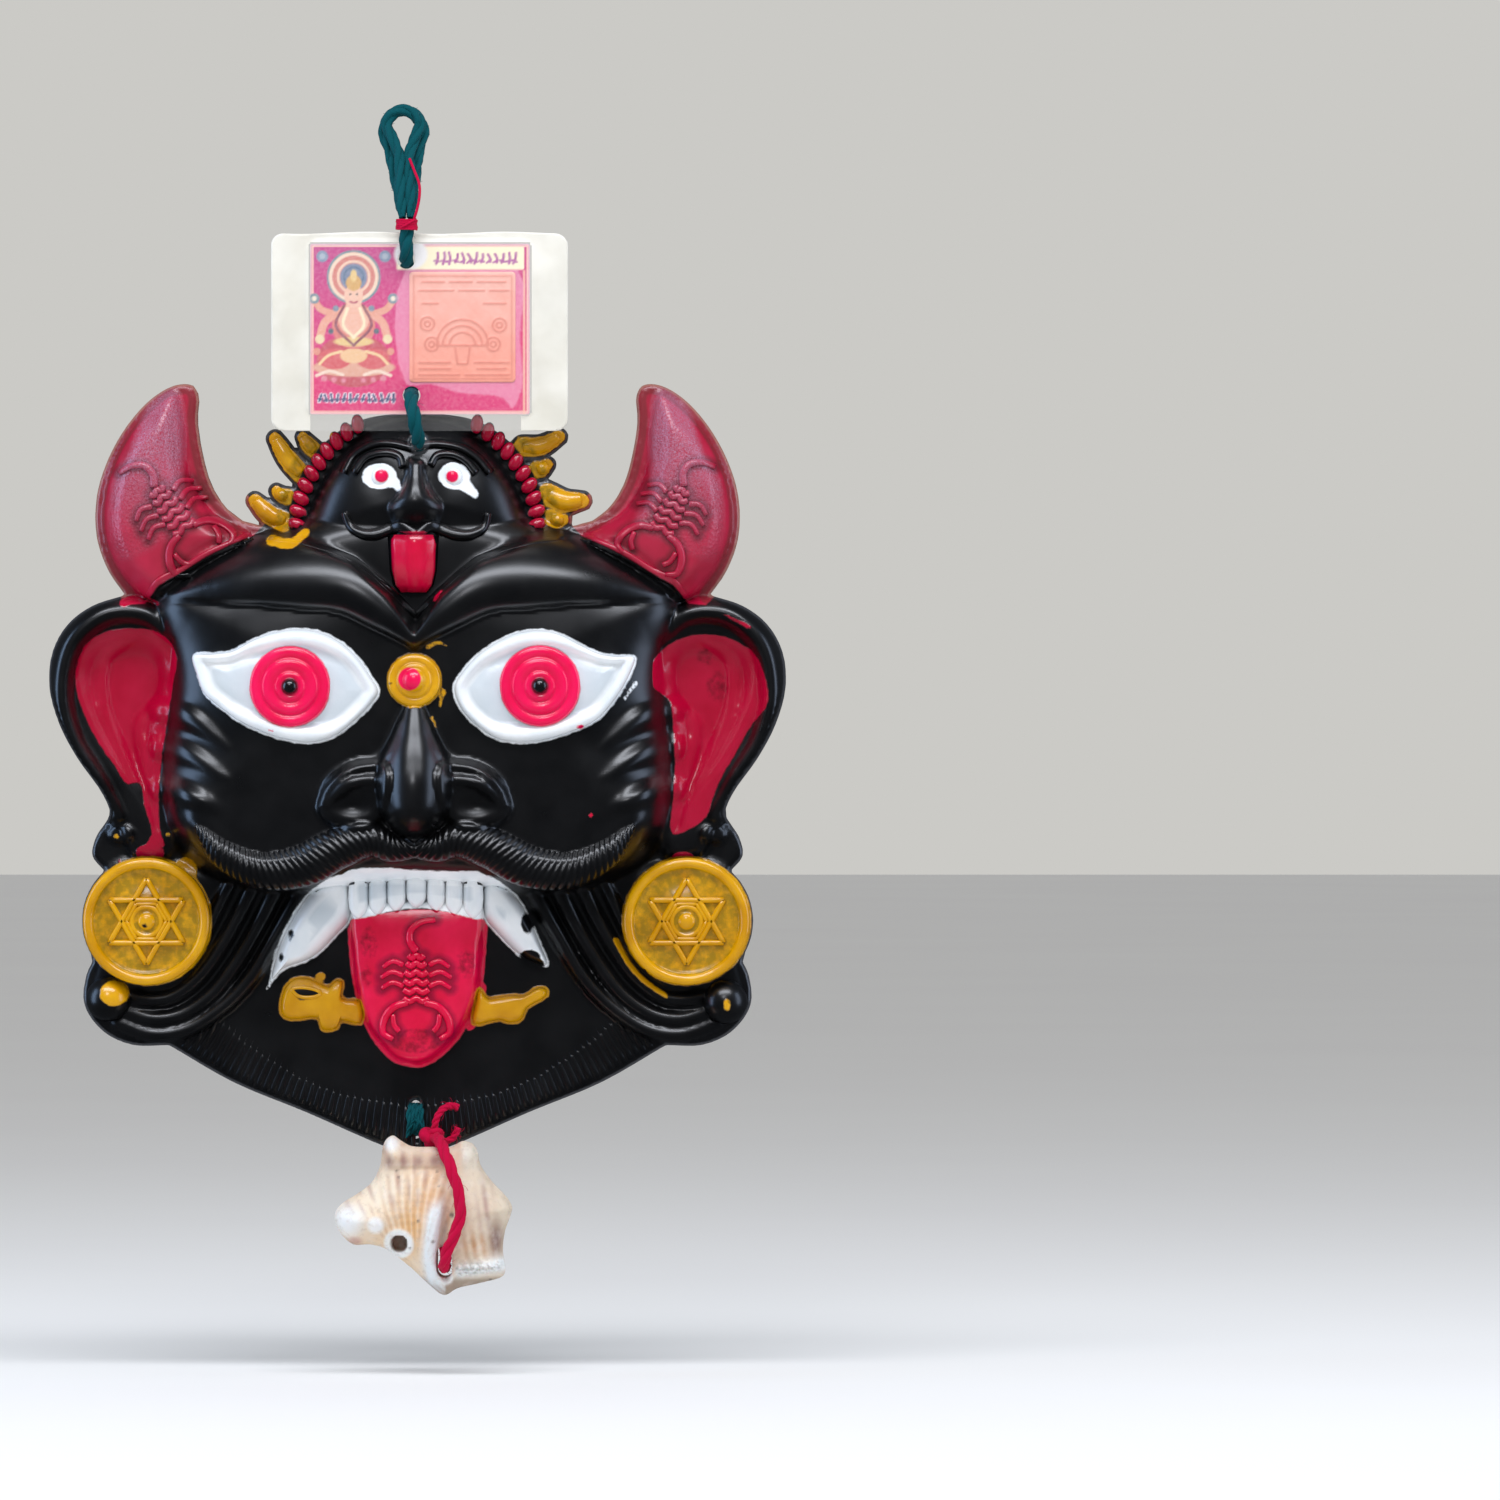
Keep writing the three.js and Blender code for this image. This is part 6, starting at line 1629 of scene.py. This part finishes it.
down_lobe = 0.6 + 0.4 * np.sin(x * 2.1 + z * 0.35)
tone = over(tone, "#9c7470", 0.7 * right_lobe * down_lobe * patch(22.6, -170, 2.6, 9))
tone = over(tone, "#b98252", 0.9 * right_lobe * down_lobe * patch(19.6, -183, 5, 5))
tone = over(tone, "#70443e", 0.9 * right_lobe * patch(26.2, -181, 2.2, 6))
tone = over(tone, "#e4dfd4", 0.6 * right_lobe * patch(16.5, -153, 3, 4))
tone = over(tone, "#eef0ee", 0.95 * shell_value(np.clip(broken * 1.3, 0, 1)))
tone = over(tone, "#93806f", 0.75 * edge_of(-z - 193.6, 2) * edge_of(x, 4) * (z > -201))
tone = over(tone, "#8a6f64", 0.5 * patch(7.6, -194.4, 3.2, 2.4))
tone = over(tone, "#e6ecee", 0.95 * shell_value(np.clip(lip * 1.4, 0, 1)))
# Painted shade down in the mouth slit: grey over its lining
slit_shade = np.clip(1 - mouth_gap / 1.6, 0, 1) * ramp(mouth_share - 0.25, 0.2)
tone = over(tone, "#b7aea6", 0.9 * shell_value(slit_shade))
tone = over(tone, "#f4f4f2", 0.95 * edge_of(2.4 - np.hypot(x - 9.9, z + 193.4), 0.8))
tone = over(tone, "#a48f7e", 0.75 * edge_of(-z - 195.6, 2.4) * (0.7 + 0.3 * np.sin(x * 2.7 + z * 3.1)))
around_drill = np.hypot(x - drill[0], z - drill[1])
tone = over(tone, "#f2f2ee", edge_of(4.9 - around_drill, 0.8))
# Painted shade inside the drilled hole, which is sunk only a little
tone = over(tone, "#9a8a7c", edge_of(2.75 - around_drill, 0.5))
for px, pz, size in ((1.2, -174.6, 0.5), (12.0, -172.8, 0.8), (-5.2, -160.6, 0.4), (-5.9, -158.6, 0.35),
                     (7.2, -158.8, 0.35), (7.8, -163.4, 0.3), (6.0, -181.4, 0.5), (-1.6, -183.6, 0.4),
                     (24.2, -194.2, 0.45)):
    tone = over(tone, "#5f524c", 0.8 * edge_of(size - np.hypot(x - px, z - pz), 0.5))
back_tone = np.array(linear("#dccdb9")[:3]) * (1 - 0.2 * shell_value(ribs))[:, None]
tone = np.where(is_back[:, None], back_tone, tone)
with_colours("growth_and_shade", bm, tone)

# Aragonite shell, washed and dried: matt chalky ribs, and a porcelain gloss on its knobs and lip; here the
# roughness only varies in random spots
shell_lime, tree, shader = material_of("weathered sea shell", {"IOR": 1.53, "Subsurface Weight": 0.05})
object_place = add(tree, "TexCoord", {}, "Object")
fine_spots = add(tree, "TexNoise", {"Vector": object_place, "Scale": 520.0, "Detail": 4.0, "Roughness": 0.65})
chalky_spots = add(tree, "TexNoise", {"Vector": object_place, "Scale": 260.0, "Detail": 3.0})
growth_and_shade = add(tree, "Attribute", {"attribute_name": "growth_and_shade"})
lime = coated(growth_and_shade, linear("#a0826e"), fine_spots, 0.52, 0.75, 0.35)
lime = coated(lime, linear("#fbf4ea"), chalky_spots, 0.5, 0.8, 0.3)
tree.links.new(lime, shader.inputs["Base Color"])
dull_spots = add(tree, "TexNoise", {"Vector": object_place, "Scale": 130.0, "Detail": 2.0})
roughness = add(tree, "MapRange", {"Value": dull_spots, "From Min": -0.6, "From Max": 1.1})
tree.links.new(roughness, shader.inputs["Roughness"])
roughen(700.0, 4.0, 0.5, 0.0003)
shell = finished(bm, "whelk_shell", [shell_lime])
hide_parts("sea_shell")
